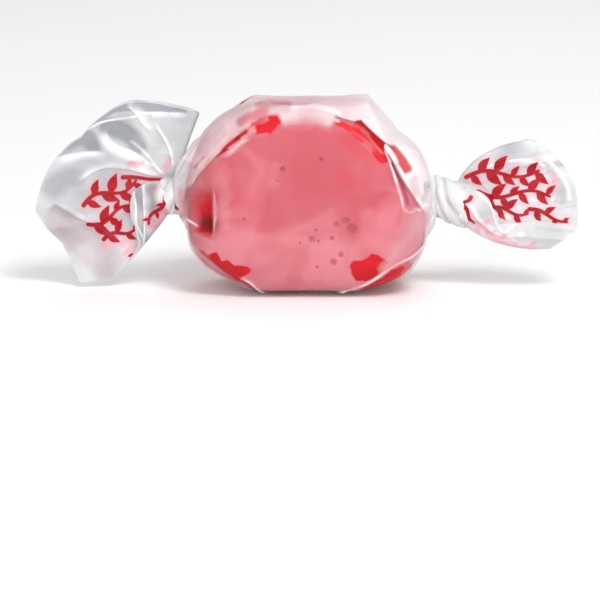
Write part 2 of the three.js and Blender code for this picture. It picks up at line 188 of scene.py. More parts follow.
# Where points show from the front, in millimetres across and up at the candy's middle
def fromFront(points):
    c, s = math.cos(math.radians(view["elevation"])), math.sin(math.radians(view["elevation"]))
    x, y, z = points.T
    away = view["distance"] + y * c - z * s
    return np.stack([x, y * s + z * c], axis=1) * (view["distance"] / away)[:, None]


def addPiece(name, points, faces, values, material, nodes):
    mesh = bpy.data.meshes.new(name)
    placed = (points + np.array(candy["middle"])) * mm
    mesh.from_pydata(placed.tolist(), [], faces)
    for key, value in values.items():
        attribute = mesh.attributes.new(key, "FLOAT", "POINT")
        attribute.data.foreach_set("value", value.astype(np.float32))
    mesh.shade_smooth()
    mesh.materials.append(material)
    piece = bpy.data.objects.new(name, mesh)
    bpy.context.scene.collection.objects.link(piece)
    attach(piece, "root")
    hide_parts(*nodes)
    print(name, "made,", len(faces), "faces")
    return piece


def gridFaces(rows, columns, ring=False):
    across = columns if ring else columns - 1
    i, j = np.meshgrid(np.arange(rows - 1), np.arange(across), indexing="ij")
    near, far = i * columns, (i + 1) * columns
    after = (j + 1) % columns
    return np.stack([near + j, near + after, far + after, far + j], axis=-1).reshape(-1, 4).tolist()


def gridNormals(grid):
    down = np.gradient(grid, axis=0)
    across = np.gradient(grid, axis=1)
    normal = np.cross(down, across)
    return normal / np.maximum(np.linalg.norm(normal, axis=-1, keepdims=True), 1e-9)


# The candy's own shape

def outlineRadius(angle):
    s = np.sin(angle)
    power = candy["outlinePower"]
    radius = (np.abs(np.cos(angle) / candy["halfWidth"]) ** power
              + np.abs(s / candy["halfHeight"]) ** power) ** (-1 / power)
    for at, spread, height in candy["swells"]:
        radius = radius + height * bell(turnBetween(np.degrees(angle), at), spread)
    for count, phase, height in candy["waves"]:
        radius = radius + height * np.sin(count * angle + phase)
    flat = candy["halfHeight"] - np.where(s < 0, candy["bottomFlat"], candy["topFlat"])
    return np.minimum(radius, flat / np.maximum(np.abs(s), 1e-6))


def pinchDepth(x, degrees):
    pinch = candy["pinch"]
    return (pinch["depth"] * bell(x - pinch["x"], pinch["reach"])
            * bell(turnBetween(degrees, pinch["angle"]), pinch["spread"]))


# The pocket beside the left twist: a sharp wall on its right, and a slope up to the left
def pitDepth(seen, edge):
    pit = candy["pit"]
    x, z = seen.T
    across = smooth((pit["right"] - x) / edge) * ramp(x, pit["left"], pit["leftSlope"])
    upDown = smooth((pit["top"] - z) / pit["topSlope"]) * ramp(z, pit["bottom"], pit["bottomSlope"])
    return pit["depth"] * across * upDown


# How far the candy reaches from the X axis at station x, in a direction round it
def candyReach(x, degrees):
    x, degrees = np.broadcast_arrays(x, degrees)
    dy, dz = -np.sin(np.radians(degrees)), np.cos(np.radians(degrees))
    power = candy["rimPower"]

    def inside(r):
        out = np.hypot(x, r * dz) / outlineRadius(np.arctan2(r * dz, x))
        return out ** power + np.abs(r * dy / candy["halfDepth"]) ** power < 1

    low = np.zeros(x.shape)
    high = np.full(x.shape, candy["halfWidth"])
    for _ in range(candy["halvings"]):
        middle = (low + high) / 2
        within = inside(middle)
        low, high = np.where(within, middle, low), np.where(within, high, middle)
    return np.where(inside(np.zeros(x.shape)), low, 0)


# Materials

# An sRGB hex colour as Blender's linear one
def linear(hexColour):
    parts = [int(hexColour[i:i + 2], 16) / 255 for i in (1, 3, 5)]
    return (*[p / 12.92 if p <= 0.04045 else ((p + 0.055) / 1.055) ** 2.4 for p in parts], 1)


# One node with its settings and its links
def addNode(tree, kind, settings, links=()):
    node = tree.nodes.new("ShaderNode" + kind)
    for key, value in settings.items():
        if isinstance(key, int) or key in node.inputs:
            node.inputs[key].default_value = value
        else:
            setattr(node, key, value)
    for key, source in dict(links).items():
        socket = source.outputs[0] if isinstance(source, bpy.types.Node) else source
        tree.links.new(socket, node.inputs[key])
    return node


def newMaterial(name):
    material = bpy.data.materials.new(name)
    material.use_nodes = True
    material.node_tree.nodes.clear()
    return material, material.node_tree


taffyFinish = {
    "pink": "#BB525E",
    "pinkPale": "#CA707B",
    "red": "#CB1122",
    "redDeep": "#B70D1D",
    # The dark red painted as shade into the pocket beside the left twist and along the rim's clefts
    "hollowShade": "#A64152",
    # The dusky pink painted as shade into the hollows of the air cells
    "deep": "#700A12",
    "roughness": 0.42,
    "gloss": 0.18,  # little of it is left under the clinging sheet
    "cloud": 5.2,  # mm, the slow change of colour left by the pulling
    "ragged": 1.3,  # mm, how coarse a stripe's ragged edge is
    "tear": 0.35,  # mm, the small teeth on it
    "grain": 0.22,  # mm, tiny air cells, drawn coarser than the real 0.05 mm so that they show
}


# Boiled sugar and syrup, pulled full of air. It gives the eye an opaque satin pink, a little soft in the
# light, with red lengths folded in and small air cells at its skin. Shade is painted in as darker colour: a
# deep red in the pocket beside the left twist and along the rim's clefts, and a dusky pink in the air
# cells' hollows.
def pulledSugarTaffy():
    f = taffyFinish
    material, tree = newMaterial("pulledSugarTaffy")
    place = addNode(tree, "TexCoord", {}).outputs["Object"]
    stripe, bubble, deep, flush, pale = [
        addNode(tree, "Attribute", {"attribute_name": name}).outputs["Fac"]
        for name in ("stripe", "bubble", "deep", "flush", "pale")]
    ragged, tear, cloud, grain = [
        addNode(tree, "TexNoise", {"Scale": 1 / (f[name] * mm), "Detail": detail, "Distortion": bent},
                {"Vector": place})
        for name, detail, bent in (("ragged", 1.5, 0), ("tear", 1, 0), ("cloud", 6, 0.8), ("grain", 2, 0))]
    edge = addNode(tree, "Math", {"operation": "MULTIPLY_ADD", 1: 0.6, 2: -0.3}, {0: ragged})
    teeth = addNode(tree, "Math", {"operation": "MULTIPLY_ADD", 1: 0.3, 2: -0.15}, {0: tear})
    wander = addNode(tree, "Math", {"operation": "ADD"}, {0: edge, 1: teeth})
    signed = addNode(tree, "Math", {"operation": "ADD"}, {0: stripe, 1: wander})
    isRed = addNode(tree, "MapRange", {"interpolation_type": "SMOOTHSTEP", "From Min": -0.05,
                                       "From Max": 0.06}, {"Value": signed})
    cloudy = addNode(tree, "MapRange", {"From Min": 0.32, "From Max": 0.68, "To Min": -0.7,
                                        "To Max": 0.7}, {"Value": cloud})
    cloudy = addNode(tree, "Math", {"operation": "ADD", "use_clamp": True}, {0: cloudy, 1: pale})
    pink, red = [
        addNode(tree, "MixRGB", {"Color1": linear(f[a]), "Color2": linear(f[b])}, {"Fac": cloudy})
        for a, b in (("pink", "pinkPale"), ("red", "redDeep"))]
    # Painted shade in the air cells' hollows
    bubbleShaded = addNode(tree, "MixRGB", {"Color2": linear(f["hollowShade"])}, {"Fac": bubble, "Color1": pink})
    striped = addNode(tree, "MixRGB", {}, {"Fac": isRed, "Color1": bubbleShaded, "Color2": red})
    flushed = addNode(tree, "MixRGB", {}, {"Fac": flush, "Color1": striped, "Color2": red})
    # Painted shade: darkened towards the deep red in the pocket and the clefts
    colour = addNode(tree, "MixRGB", {"Color2": linear(f["deep"])}, {"Fac": deep, "Color1": flushed})
    bump = addNode(tree, "Bump", {"Strength": 0.12, "Distance": 0.00008}, {"Height": grain})
    shader = addNode(tree, "BsdfPrincipled", {
        "Roughness": f["roughness"], "IOR": 1.5, "Specular IOR Level": f["gloss"],
        "Subsurface Weight": 0.22, "Subsurface Radius": (1.0, 0.35, 0.3), "Subsurface Scale": 0.0009,
    }, {"Base Color": colour, "Normal": bump})
    addNode(tree, "OutputMaterial", {}, {"Surface": shader})
    return material


paperFinish = {
    "white": "#F9F8F9",
    "singleAndShade": "#909398",  # the grey of one loose layer, which lets most of the light through, and also the painted shade in folds and on parts turned from the light
    "ink": "#BA0820",
    "inkDeep": "#8E0618",
    "blush": "#EA90A0",  # candy or print showing pink through the milk of the paper, painted on as a glow
    "roughness": 0.36,
    "mottle": 1.8,  # mm, the clouding of the pulp held to the light
    "fibre": 0.3,  # mm, pulp fibres, drawn about three times as coarse as they are
    "crumple": 2.6,  # mm between the small creases of a handled sheet
}


# Thin bleached paper soaked in wax. It gives the eye a milky sheet with a soft gloss, clear where it lies
# on the candy, hazy where it stands off, greyer where it is single and where shade is painted on, and
# whiter along each crease, partly from the crease's own milk and partly as a painted highlight. The candy's
# pink is painted into the milk as a glow. The print is one red.
def waxedPaper():
    f = paperFinish
    material, tree = newMaterial("waxedPaper")
    place = addNode(tree, "TexCoord", {}).outputs["Object"]
    haze, ink, blush, grey = [
        addNode(tree, "Attribute", {"attribute_name": name}).outputs["Fac"]
        for name in ("haze", "ink", "blush", "grey")]
    mottle, fibre = [
        addNode(tree, "TexNoise", {"Scale": 1 / (f[name] * mm), "Detail": detail}, {"Vector": place})
        for name, detail in (("mottle", 3), ("fibre", 2))]
    clouded = addNode(tree, "Math", {"operation": "MULTIPLY_ADD", 1: 0.3, 2: 0.85}, {0: mottle})
    body = addNode(tree, "Math", {"operation": "MULTIPLY", "use_clamp": True}, {0: haze, 1: clouded})
    white = addNode(tree, "MixRGB", {"Color1": linear(f["white"]), "Color2": linear(f["singleAndShade"])},
                    {"Fac": grey})
    tinted = addNode(tree, "MixRGB", {"Color2": linear(f["blush"])}, {"Fac": blush, "Color1": white})
    isInk = addNode(tree, "MapRange", {"interpolation_type": "SMOOTHSTEP", "From Min": -0.05,
                                       "From Max": 0.05}, {"Value": ink})
    inked = addNode(tree, "MixRGB", {"Color1": linear(f["ink"]), "Color2": linear(f["inkDeep"])},
                    {"Fac": mottle})
    colour = addNode(tree, "MixRGB", {}, {"Fac": isInk, "Color1": tinted, "Color2": inked})
    solid = addNode(tree, "Math", {"operation": "MAXIMUM"}, {0: body, 1: isInk})
    crumple = addNode(tree, "TexVoronoi", {"Scale": 1 / (f["crumple"] * mm),
                                           "feature": "DISTANCE_TO_EDGE"}, {"Vector": place})
    fine = addNode(tree, "Bump", {"Strength": 0.1, "Distance": 0.00006}, {"Height": fibre})
    bump = addNode(tree, "Bump", {"Strength": 0.12, "Distance": 0.0003},
                   {"Height": crumple, "Normal": fine})
    gloss = addNode(tree, "BsdfPrincipled", {"Roughness": f["roughness"], "IOR": 1.45,
                                             "Specular IOR Level": 0.3},
                    {"Base Color": colour, "Normal": bump})
    through = addNode(tree, "BsdfTranslucent", {}, {"Color": colour, "Normal": bump})
    sheet = addNode(tree, "MixShader", {"Fac": 0.12}, {1: gloss, 2: through})
    clear = addNode(tree, "BsdfTransparent", {})
    shown = addNode(tree, "MixShader", {}, {"Fac": solid, 1: clear, 2: sheet})
    addNode(tree, "OutputMaterial", {}, {"Surface": shown})
    return material


taffyMaterial = pulledSugarTaffy()
paperMaterial = waxedPaper()
print("materials made")

# Clefts along the rim that the candy and the sheet share, as seen from the front; the candy is painted dark
# along them as painted shade
clefts = {
    "upperLeft": [(-8.4, 5.8), (-7.8, 6.2), (-7.2, 6.6), (-6.4, 7.2)],
    "left": [(-10.4, 3.9), (-9.5, 4.6), (-8.5, 5.2)],
    "lowerLeft": [(-12.2, -5.7), (-10.9, -6.8), (-9.8, -7.7), (-8.9, -8.4), (-7.9, -9.1), (-6.7, -9.7),
                  (-5.7, -10.4), (-4.8, -10.9)],
    "right": [(9.0, 4.0), (9.5, 2.9), (10.1, 1.6), (10.5, 0.4), (10.8, -0.6), (10.9, -1.4)],
}

# The candy: one closed skin, with the stripes and air bubbles as values on its points

candySkin = {
    "round": 440,
    "front": 104,  # rows over the front face, where most shows
    "side": 52,
    "back": 26,
    "edgeAngle": 42,  # degrees off the middle plane where the side's rows give way to a face's
    "rowRadius": 11.5,  # mm, a middling radius to space the rows by
    "profileSteps": 6001,
    "grow": 0.12,  # mm, the soft candy fills the gap that the solids keep to the paper
    "lumps": [(0.07, 3.4, 1.0, 3), (0.03, 1.1, 0.35, 5)],  # height, size, weight of the depth, seed
    "pitEdge": 0.45,
    "floorGap": 0.16,
    "frontEnds": -6.3,  # the y behind which a stripe isn't ruled by its outlines on the front
    "taper": 0.28,  # share by which a stripe is narrower at its inner end
    "tongue": 0.5,  # share by which it is shallower at its sides
    "sway": (0.35, 0.5),  # mm to each side, and radians a millimetre, that it wanders going back
    "torn": (0.6, 1.9, 61),  # mm by which its inner end is uneven, size, seed
    "stripes": [  # degrees from +X seen from the front, width, depth, lean, outlines on the front
        {"angle": -47, "width": 4.1, "depth": 3.3, "lean": 14, "front": [[
            (4.5, -7.7), (5.1, -7.2), (5.9, -7.1), (6.9, -6.4), (7.6, -6.3), (8.0, -6.7), (8.8, -7.2),
            (8.5, -7.7), (8.3, -8.3), (7.4, -8.9), (6.4, -9.3), (5.6, -9.3), (5.3, -9.4), (4.9, -8.8),
            (4.7, -8.2)],
            [(5.6, -10.3), (7.0, -9.5), (8.4, -8.65), (10.15, -7.6), (11.3, -8.4), (10.8, -9.6),
             (8.6, -11.0), (6.4, -11.6)]]},
        {"angle": 49, "width": 6.4, "depth": 2.1, "lean": -8, "front": [[
            (2.8, 7.7), (3.5, 7.9), (4.1, 7.8), (4.5, 7.6), (5.0, 7.8), (5.3, 8.1), (5.8, 8.2), (6.2, 7.7),
            (7.3, 6.7), (8.3, 5.8), (9.2, 5.3), (9.9, 4.7), (10.4, 4.1), (11.1, 2.9), (10.6, 2.3),
            (9.7, 3.5), (9.2, 3.9), (8.5, 3.5), (8.0, 3.5), (7.5, 3.9), (6.8, 5.0), (6.2, 5.8), (5.8, 5.8),
            (5.4, 6.1), (4.6, 6.8), (3.7, 7.3)]]},
        {"angle": 117, "width": 3.4, "depth": 2.3, "lean": 10, "front": [[
            (-4.5, 8.7), (-3.3, 8.8), (-3.0, 8.4), (-3.0, 7.8), (-3.6, 7.2), (-4.2, 6.4), (-4.3, 6.8),
            (-4.7, 6.8), (-5.7, 6.6), (-6.2, 6.8), (-7.0, 6.4), (-7.8, 5.8), (-8.5, 5.4), (-9.3, 4.7),
            (-10.0, 4.1), (-9.3, 5.2), (-8.2, 6.2), (-7.2, 6.9), (-6.4, 7.3), (-6.1, 7.9), (-5.2, 8.1)]]},
        {"angle": 183, "width": 4.6, "depth": 2.6, "lean": 0, "frontEnds": -4.0, "front": [
            [(-11.8, -3.5), (-11.2, -3.4), (-10.6, -3.3), (-10.6, -4.1), (-11.1, -4.2), (-11.7, -3.9)]]},
        {"angle": 219, "width": 4.9, "depth": 2.2, "lean": -6, "front": [[
            (-10.9, -6.4), (-10.5, -6.3), (-10.0, -6.2), (-9.6, -6.7), (-9.4, -7.2), (-8.8, -7.0),
            (-8.3, -7.4), (-8.0, -7.6), (-7.4, -7.6), (-6.5, -7.8), (-6.2, -8.1), (-6.3, -8.5),
            (-6.8, -8.7), (-7.3, -9.0), (-7.7, -9.3), (-8.9, -8.4), (-9.8, -7.8), (-10.4, -7.2)]]},
    ],
    "pocket": [(-12.8, 0.3), (-12.1, 0.6), (-10.2, 0.7), (-9.7, 0.3), (-9.6, -1.4), (-9.5, -2.7),
               (-9.6, -4.0), (-10.2, -5.0), (-11.5, -4.6), (-12.7, -3.9), (-12.2, -3.3), (-12.7, -1.4)],
    "flush": {  # the pocket's red: where it sets in from its edge, wall and top, and over how much
        "edge": (-0.18, 1.2), "wall": (-0.1, 0.3), "lower": (-0.5, 2.2), "slope": 0.5, "middle": -11.3,
        "least": 0.42},
    # The middle of the painted shade in the pocket, as seen from the front
    "darkestShade": {"at": (-10.9, -3.2), "half": (1.1, 0.9)},
    "redAndShadeReach": (-2.5, 2),  # the y behind which the pocket's red and its painted shade are gone, and over how much
    "pale": 0.04,  # everywhere
    "tones": [  # where the pulled candy is paler, darker or redder, on the front face
        ([(-10.0, -8.0), (-5.0, -9.0), (1.0, -9.5), (6.0, -8.5)], 2.4, 3.0, 0, {"pale": 0.8}),
        ([(-6.0, -5.6), (-1.0, -6.0), (4.0, -6.6)], 0.6, 1.6, 0, {"pale": 0.8}),
        ([(-9.5, 3.0), (-9.6, 0.0), (-9.6, -4.0)], 0.6, 0.8, 0, {"pale": 0.45}),
        ([(9.0, -2.0), (8.6, -5.0), (7.0, -6.8)], 0.6, 1.6, 0, {"pale": 0.5}),
        ([(-4.6, 0.9), (-1.0, 1.3), (2.0, 2.4)], 0.2, 1.1, 0.2, {"pale": 0.5}),
        ([(-5.6, -2.6), (-1.0, -2.2), (2.6, -1.4), (5.6, 0.8)], 0.6, 1.2, 0.1, {"pale": -0.15}),
        ([(3.6, 3.4), (5.4, 2.4), (7.2, 1.6)], 0.6, 1.4, 0.1, {"pale": -0.1}),
        ([(3.4, 7.0), (5.2, 5.6), (6.6, 4.0), (7.6, 2.6)], 0.5, 1.1, 0.15, {"flush": 0.28}),
        ([(3.0, 2.6), (5.0, 1.6), (7.0, 1.4)], 0.3, 1.2, 0.2, {"flush": 0.16}),
    ],
    "clefts": [  # the line, half width, softness, fade at its ends, what changes; the darkening in them is painted shade
        (clefts["upperLeft"], 0.12, 0.12, 0.2, {"deep": 0.45}),
        (clefts["left"], 0.08, 0.1, 0.2, {"deep": 1.0}),
        (clefts["lowerLeft"], 0.12, 0.15, 0.1, {"flush": 0.9, "deep": 0.5}),
        (clefts["right"], 0.12, 0.25, 0.1, {"deep": 0.5}),
        ([(6.2, 7.8), (7.3, 6.8), (8.3, 6.0), (9.2, 5.4), (9.9, 4.8), (10.6, 3.9)], 0.04, 0.12, 0.2,
         {"deep": 0.35}),
    ],
    "bubbles": [  # across, up and radius as seen on the front face
        (4.8, -3.7, 0.58), (4.1, -2.8, 0.4), (3.1, -3.2, 0.28), (0.9, -3.8, 0.16), (0.4, -4.8, 0.33),
        (1.1, -5.0, 0.15), (2.6, -4.7, 0.26), (3.6, -6.5, 0.28), (2.8, -7.3, 0.37), (1.0, -7.8, 0.16),
        (-2.8, 2.8, 0.3), (-3.3, 1.5, 0.12), (1.4, 3.9, 0.2), (-7.0, -2.6, 0.14), (-0.9, -5.2, 0.13),
    ],
    "bubbleDepth": 0.12,
    "bubbleRim": (1.15, 0.35),  # of its radius: where it ends, and over how much
    # How far an air cell's hollow is painted towards the dusky pink, as painted shade
    "bubbleShade": 0.8,
    "bubblesBefore": -6,  # they are on the front face alone
}


# How far out the candy's section reaches at a tilt off the middle plane, as a share
def rimGrow(tilt):
    power = candy["rimPower"]
    return (np.abs(np.cos(tilt)) ** power + np.abs(np.sin(tilt)) ** power) ** (-1 / power)


def candyGrid():
    s = candySkin
    fine = np.radians(np.linspace(-90, 90, s["profileSteps"]))
    grow = rimGrow(fine)
    profile = np.stack([s["rowRadius"] * grow * np.cos(fine),
                        candy["halfDepth"] * grow * np.sin(fine)], axis=1)
    run = np.concatenate([[0], np.cumsum(np.hypot(*np.diff(profile, axis=0).T))])
    turn = math.radians(s["edgeAngle"])
    edges = [0, np.interp(-turn, fine, run), np.interp(turn, fine, run), run[-1]]
    counts = (s["front"], s["side"], s["back"])
    steps = np.concatenate([np.linspace(a, b, n, endpoint=False)
                            for a, b, n in zip(edges, edges[1:], counts)])[1:]
    tilt = np.interp(steps, run, fine)[:, None]
    angle = np.linspace(0, 2 * np.pi, s["round"], endpoint=False)[None, :]
    radius = outlineRadius(angle) * rimGrow(tilt) * np.cos(tilt)
    depth = np.broadcast_to(candy["halfDepth"] * rimGrow(tilt) * np.sin(tilt), radius.shape)
    return np.stack([radius * np.cos(angle), depth, radius * np.sin(angle)], axis=-1)


# The candy drawn in towards its length beside the left twist
def pinched(points):
    around = np.degrees(np.arctan2(-points[:, 1], points[:, 2]))
    reach = np.hypot(points[:, 1], points[:, 2])
    keep = np.maximum(0, 1 - pinchDepth(points[:, 0], around) / np.maximum(reach, 1e-6))
    return points * np.stack([np.ones(len(points)), keep, keep], axis=1)


def bubbleShare(points, seen):
    share = np.zeros(len(points))
    ends, over = candySkin["bubbleRim"]
    for x, z, size in candySkin["bubbles"]:
        away = np.hypot(seen[:, 0] - x, seen[:, 1] - z) / size
        there = np.where(points[:, 1] < candySkin["bubblesBefore"], smooth((ends - away) / over), 0)
        share = np.maximum(share, there)
    return share


# Each point's distance into a red stripe, above 0 inside it
def stripeDistance(points, seen):
    s = candySkin
    x, y, z = points.T
    sway, rate = s["sway"]
    torn, size, seed = s["torn"]
    stripe = np.full(len(points), -5.0)
    for band in s["stripes"]:
        at, lean = math.radians(band["angle"]), math.radians(band["angle"] + band["lean"])
        rim = float(outlineRadius(np.array(at)))
        dx, dz = x - rim * math.cos(at), z - rim * math.sin(at)
        inward = -(dx * math.cos(lean) + dz * math.sin(lean))
        sideways = dz * math.cos(lean) - dx * math.sin(lean) + sway * np.sin(y * rate + band["angle"])
        half = band["width"] / 2 * (1 - s["taper"] * np.clip(inward / band["depth"], 0, 1))
        tongue = band["depth"] * (1 - s["tongue"] * (sideways / half) ** 2)
        tongue = tongue + torn * softNoise(points, size, seed)
        here = np.minimum(half - np.abs(sideways), tongue - inward)
        onFront = np.max([insideBy(seen, outline) for outline in band["front"]], axis=0)
        ends = band.get("frontEnds", s["frontEnds"])
        stripe = np.maximum(stripe, np.where(y < ends, onFront, here))
    return stripe


def makeCandy():
    s = candySkin
    grid = candyGrid()
    poles = np.array([[0, -candy["halfDepth"], 0], [0, candy["halfDepth"], 0]])
    points = np.vstack([pinched(grid.reshape(-1, 3)), poles])
    normal = gridNormals(points[:-2].reshape(grid.shape)).reshape(-1, 3)
    normal = np.vstack([normal, [[0, -1, 0], [0, 1, 0]]])
    normal = normal * np.sign(np.sum(normal * points, axis=1))[:, None]
    swell = sum(height * softNoise(points * [1, depth, 1], size, seed)
                for height, size, depth, seed in s["lumps"])
    seen = fromFront(points)
    bubble = bubbleShare(points, seen)
    points = points + normal * (s["grow"] + swell - s["bubbleDepth"] * bubble)[:, None]
    points[:, 1] += np.where(points[:, 1] < 0, pitDepth(seen, s["pitEdge"]), 0)
    points[:, 2] = np.maximum(points[:, 2], s["floorGap"] - candy["middle"][2])

    rows, columns = grid.shape[:2]
    bottom, top = rows * columns, rows * columns + 1
    j = np.arange(columns)
    after = (j + 1) % columns
    last = (rows - 1) * columns
    caps = np.vstack([np.stack([j, np.full(columns, bottom), after], axis=1),
                      np.stack([last + after, np.full(columns, top), last + j], axis=1)])

    x, z = seen.T
    f = s["flush"]
    pocket = ramp(insideBy(seen, s["pocket"]), *f["edge"])
    pocket = pocket * ramp(candy["pit"]["right"] - x, *f["wall"])
    lower = ramp(f["slope"] * (x - f["middle"]) - z, *f["lower"])
    (darkX, darkZ), (wide, high) = s["darkestShade"]["at"], s["darkestShade"]["half"]
    values = {
        "stripe": stripeDistance(points, seen),
        "bubble": bubble * s["bubbleShade"],
        "flush": pocket * lerp(f["least"], 1.0, lower),
        "deep": bell(np.hypot((x - darkX) / wide, (z - darkZ) / high), 1.0),
        "pale": np.full(len(points), s["pale"]),
    }
    drawMarks(seen, s["tones"], values, points[:, 1] < 0)
    drawMarks(seen, s["clefts"], values, 1.0)
    ends, over = s["redAndShadeReach"]
    for key in ("deep", "flush"):
        values[key] = values[key] * ramp(-points[:, 1], -ends, over)
    return points, gridFaces(rows, columns, ring=True) + caps.tolist(), values


points, faces, values = makeCandy()
addPiece("pulledTaffy", points, faces, values, taffyMaterial,
         ["taffy_body", "red_stripe_1", "red_stripe_2", "red_stripe_3", "red_stripe_4", "red_stripe_5"])

# The rolled sheet between the two necks

twists = {
    -1: {"neckX": 14.5, "slant": 0.4, "neckRadius": 1.85, "endX": 16.0, "endRadius": 1.7, "endDrop": 0.1,
         "dropsEarly": 0.5, "tentTop": 5.7, "bulgeTop": 1.32},
    1: {"neckX": 13.9, "slant": -0.4, "neckRadius": 2.05, "endX": 17.3, "endRadius": 2.35, "endDrop": 1.0,
        "dropsEarly": 0.5, "tentTop": 6.5, "bulgeTop": 1.07},
}

